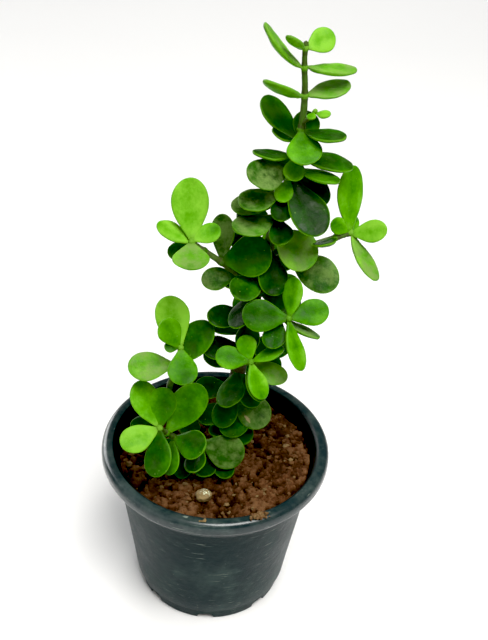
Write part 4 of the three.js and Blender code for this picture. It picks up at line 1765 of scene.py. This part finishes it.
@dataclass(frozen=True)
class SoilFinish:
    """Crumbly reddish-brown soil, darkened to near black in its gaps as painted shade, and paler on its
    crumbs.
    """

    name: str = "soil_crumbly"
    # From near black in the gaps up to the soil's own browns: the low stops are painted shade.
    browns_and_gap_shade: tuple[tuple[float, Triple], ...] = (
        (0.0, (0.005, 0.002, 0.001)),
        (0.38, (0.048, 0.017, 0.007)),
        (0.68, (0.105, 0.042, 0.018)),
        (1.0, (0.200, 0.100, 0.045)),
    )
    damp: Triple = (0.070, 0.024, 0.008)
    pale: Triple = (0.330, 0.240, 0.110)
    speck: Triple = (0.300, 0.210, 0.110)

    def make(self, effects: Effects) -> bpy.types.Material:
        """Makes the material.

        Args:
            effects: the shared groups.

        Returns:
            The material.
        """
        finish = Finish(self.name, effects)
        board = finish.board
        fine = board.noise(finish.grain, 0.8, 6, 0.7)
        level = board.plus(board.mark("height"), board.swing(fine, 4.5))
        # Painted shade: the lower the soil lies, the darker, near black in the gaps.
        finish.skin = board.ramp(board.remap(level, -1.9, 2.9), *self.browns_and_gap_shade)
        finish.lay(board.times(finish.mottle(0.09, 0.5), 0.35), self.damp)
        finish.lay(board.remap(board.mark("tint"), 0.55, 1.2, 0.0, 0.75), self.pale)
        finish.lay(board.times(finish.specks(0.7, 0.22, 0.16), 0.5), self.speck)
        gloss = board.remap(fine, 0.2, 0.8, 0.82, 1.0)
        return finish.close(1.1, 1.0, 0.0012, Roughness=gloss, Specular_IOR_Level=0.15)


@dataclass(frozen=True)
class PebbleFinish:
    """Tan stone with brown stains, and pale crystal-like specks painted on its upper right as a painted
    highlight.
    """

    name: str = "grit_stone"
    stain: Triple = (0.130, 0.080, 0.030)
    tan: Triple = (0.300, 0.215, 0.085)
    glint_highlight: Triple = (0.720, 0.800, 0.560)

    def make(self, effects: Effects) -> bpy.types.Material:
        """Makes the material.

        Args:
            effects: the shared groups.

        Returns:
            The material.
        """
        finish = Finish(self.name, effects, self.stain)
        board = finish.board
        finish.lay(finish.mottle(0.30, 0.6), self.tan)
        # Painted highlight: pale glint specks on the upper right.
        glint = board.times(board.remap(finish.specks(1.1, 0.62, 0.75), 0.15, 0.5), board.mark("glint"))
        finish.lay(glint, self.glint_highlight)
        gloss = board.remap(glint, 0, 1, 0.75, 0.3)
        return finish.close(1.2, 1.0, 0.0005, Roughness=gloss, Specular_IOR_Level=0.4)


@dataclass(frozen=True)
class FloorFinish:
    """Pale painted board."""

    name: str = "studio_floor"
    shaded: Triple = (0.90, 0.90, 0.89)
    pale: Triple = (0.93, 0.93, 0.925)

    def make(self, effects: Effects) -> bpy.types.Material:
        """Makes the material.

        Args:
            effects: the shared groups.

        Returns:
            The material.
        """
        finish = Finish(self.name, effects, self.shaded, follows="Object")
        cloud = finish.mottle(1.5, 0.2)
        finish.lay(cloud, self.pale)
        gloss = finish.board.remap(cloud, 0, 1, 0.62, 0.75)
        return finish.close(0, 0, 0, Roughness=gloss, Specular_IOR_Level=0.2)


# ---- The plant and its studio -------------------------------------------------------------------------


@dataclass
class Plant:
    """Every stem and leaf set of the growth plan."""

    effects: Effects
    shoots: tuple[Shoot, ...] = GROWTH
    foliage: Foliage = field(default_factory=Foliage)

    def build(self) -> None:
        """Builds each shoot and the leaf sets on it."""
        bark = StemFinish("bark_trunk", (0.052, 0.030, 0.014), (0.060, 0.150, 0.014), 0.55)
        green = StemFinish("stem_green", (0.060, 0.044, 0.018), (0.060, 0.140, 0.014), 0.42)
        bark_skin, green_skin = bark.make(self.effects), green.make(self.effects)
        leaves = {
            Age.YOUNG: LeafFinish("leaf_young", 0.60, 0.30, 0.45, 0.9, 0.34).make(self.effects),
            Age.MATURE: LeafFinish("leaf_mature", 0.75, 0.40, 0.55, 0.9, 0.30).make(self.effects),
            Age.OLD: LeafFinish("leaf_old", 0.55, 0.45, 0.65, 1.0, 0.38).make(self.effects),
        }
        for shoot in self.shoots:
            is_trunk = shoot.name == "trunk"
            stem = Stem(shoot, 1.0 if is_trunk else 0.65, 0.25 if is_trunk else 0.1)
            stem.build(bark_skin if is_trunk else green_skin, "bark" if is_trunk else "green_stem")
            for leaf_set in shoot.sets:
                self.foliage.build(leaf_set, stem.joint(leaf_set.along), leaves[leaf_set.age])
        count = sum(len(shoot.sets) for shoot in self.shoots)
        LOG.info("plant: %d shoots, %d leaf sets", len(self.shoots), count)


@dataclass(frozen=True)
class Softbox:
    """A square light that faces the plant, in watts and metres."""

    name: str
    power: float
    size: float
    place: Triple
    tint: Triple = (1.0, 1.0, 1.0)
    in_gloss: bool = True  # whether it shows in reflections
    lights_matt: bool = True  # whether it lights matt skins
    aim: Triple = (0.0, 0.0, 0.2)

    def hang(self) -> None:
        """Hangs it."""
        lamp = bpy.data.lights.new(self.name, "AREA")
        lamp.energy, lamp.size, lamp.color = self.power, self.size, self.tint
        holder = bpy.data.objects.new(self.name, lamp)
        holder.location = self.place
        holder.rotation_euler = (Vector(self.aim) - Vector(self.place)).to_track_quat("-Z", "Y").to_euler()
        holder.visible_glossy, holder.visible_diffuse = self.in_gloss, self.lights_matt
        bpy.context.scene.collection.objects.link(holder)


@dataclass
class Studio:
    """The pale floor, the soft lights and the camera."""

    floor_size: float = 9.0
    camera_place: Triple = (0.0134, -0.4393, 0.5344)
    pitch: float = 35.4
    tilt: float = 3.8
    lens: float = 50.0
    air_glow: float = 0.14
    black_level: Triple = (0.012, 0.010, 0.012)
    softboxes: tuple[Softbox, ...] = (
        Softbox("key_softbox", 48.0, 1.0, (0.35, -0.60, 1.80), (1.0, 0.985, 0.96)),
        Softbox("fill_softbox", 7.0, 1.6, (-1.5, -0.9, 0.9), (0.96, 0.98, 1.0)),
        Softbox("back_softbox", 90.0, 3.0, (0.0, 3.4, 2.2), in_gloss=False),
        Softbox("edge_softbox", 34.0, 1.2, (-1.4, 1.2, 0.8), lights_matt=False),
    )

    def build(self, floor_material: bpy.types.Material) -> None:
        """Builds the floor, the lights, the air and the camera.

        Args:
            floor_material: the floor's finish.
        """
        self.build_floor(floor_material)
        for softbox in self.softboxes:
            softbox.hang()
        world = bpy.data.worlds.new("studio_air")
        world.use_nodes = True
        air = world.node_tree.nodes["Background"]
        Board(world.node_tree).fill(air, Color=(1, 1, 1, 1), Strength=self.air_glow)
        bpy.context.scene.world = world
        view = bpy.context.scene.view_settings
        view.view_transform = "Standard"
        view.use_curve_mapping = True
        view.curve_mapping.black_level = self.black_level
        self.build_camera()
        LOG.info("studio: floor, %d softboxes and camera", len(self.softboxes))

    def build_floor(self, material: bpy.types.Material) -> None:
        """Lays a large flat board that the pot stands on.

        Args:
            material: its finish.
        """
        half = self.floor_size / 2
        mesh = bpy.data.meshes.new("floor")
        corners = [(-half, -half, 0), (half, -half, 0), (half, half, 0), (-half, half, 0)]
        mesh.from_pydata(corners, [], [(0, 1, 2, 3)])
        mesh.materials.append(material)
        floor = bpy.data.objects.new("floor", mesh)
        bpy.context.scene.collection.objects.link(floor)

    def build_camera(self) -> None:
        """Sets the camera above and in front of the pot, tipped down and tilted a little."""
        pitch, tilt = math.radians(self.pitch), math.radians(self.tilt)
        ahead = np.array([0, math.cos(pitch), -math.sin(pitch)])
        level = np.array([1.0, 0, 0])
        above = np.cross(level, ahead)
        right = level * math.cos(tilt) + above * math.sin(tilt)
        up = -level * math.sin(tilt) + above * math.cos(tilt)
        camera = bpy.data.objects.new("camera", bpy.data.cameras.new("camera"))
        camera.data.lens = self.lens
        rows = np.stack([right, up, -ahead], axis=1)
        camera.matrix_world = Matrix.Translation(self.camera_place) @ Matrix(rows.tolist()).to_4x4()
        bpy.context.scene.collection.objects.link(camera)
        bpy.context.scene.camera = camera


def main() -> None:
    """Builds every piece in order."""
    logging.basicConfig(level=logging.INFO, format="%(name)s: %(message)s")
    effects = Effects()
    pot = Pot()
    soil_finish = SoilFinish().make(effects)
    pot.build(PotFinish().make(effects))
    Soil(pot).build(soil_finish)
    Pebble().build(PebbleFinish().make(effects))
    RimCrumb().build(soil_finish)
    Plant(effects).build()
    Studio().build(FloorFinish().make(effects))


if __name__ == "__main__":
    main()
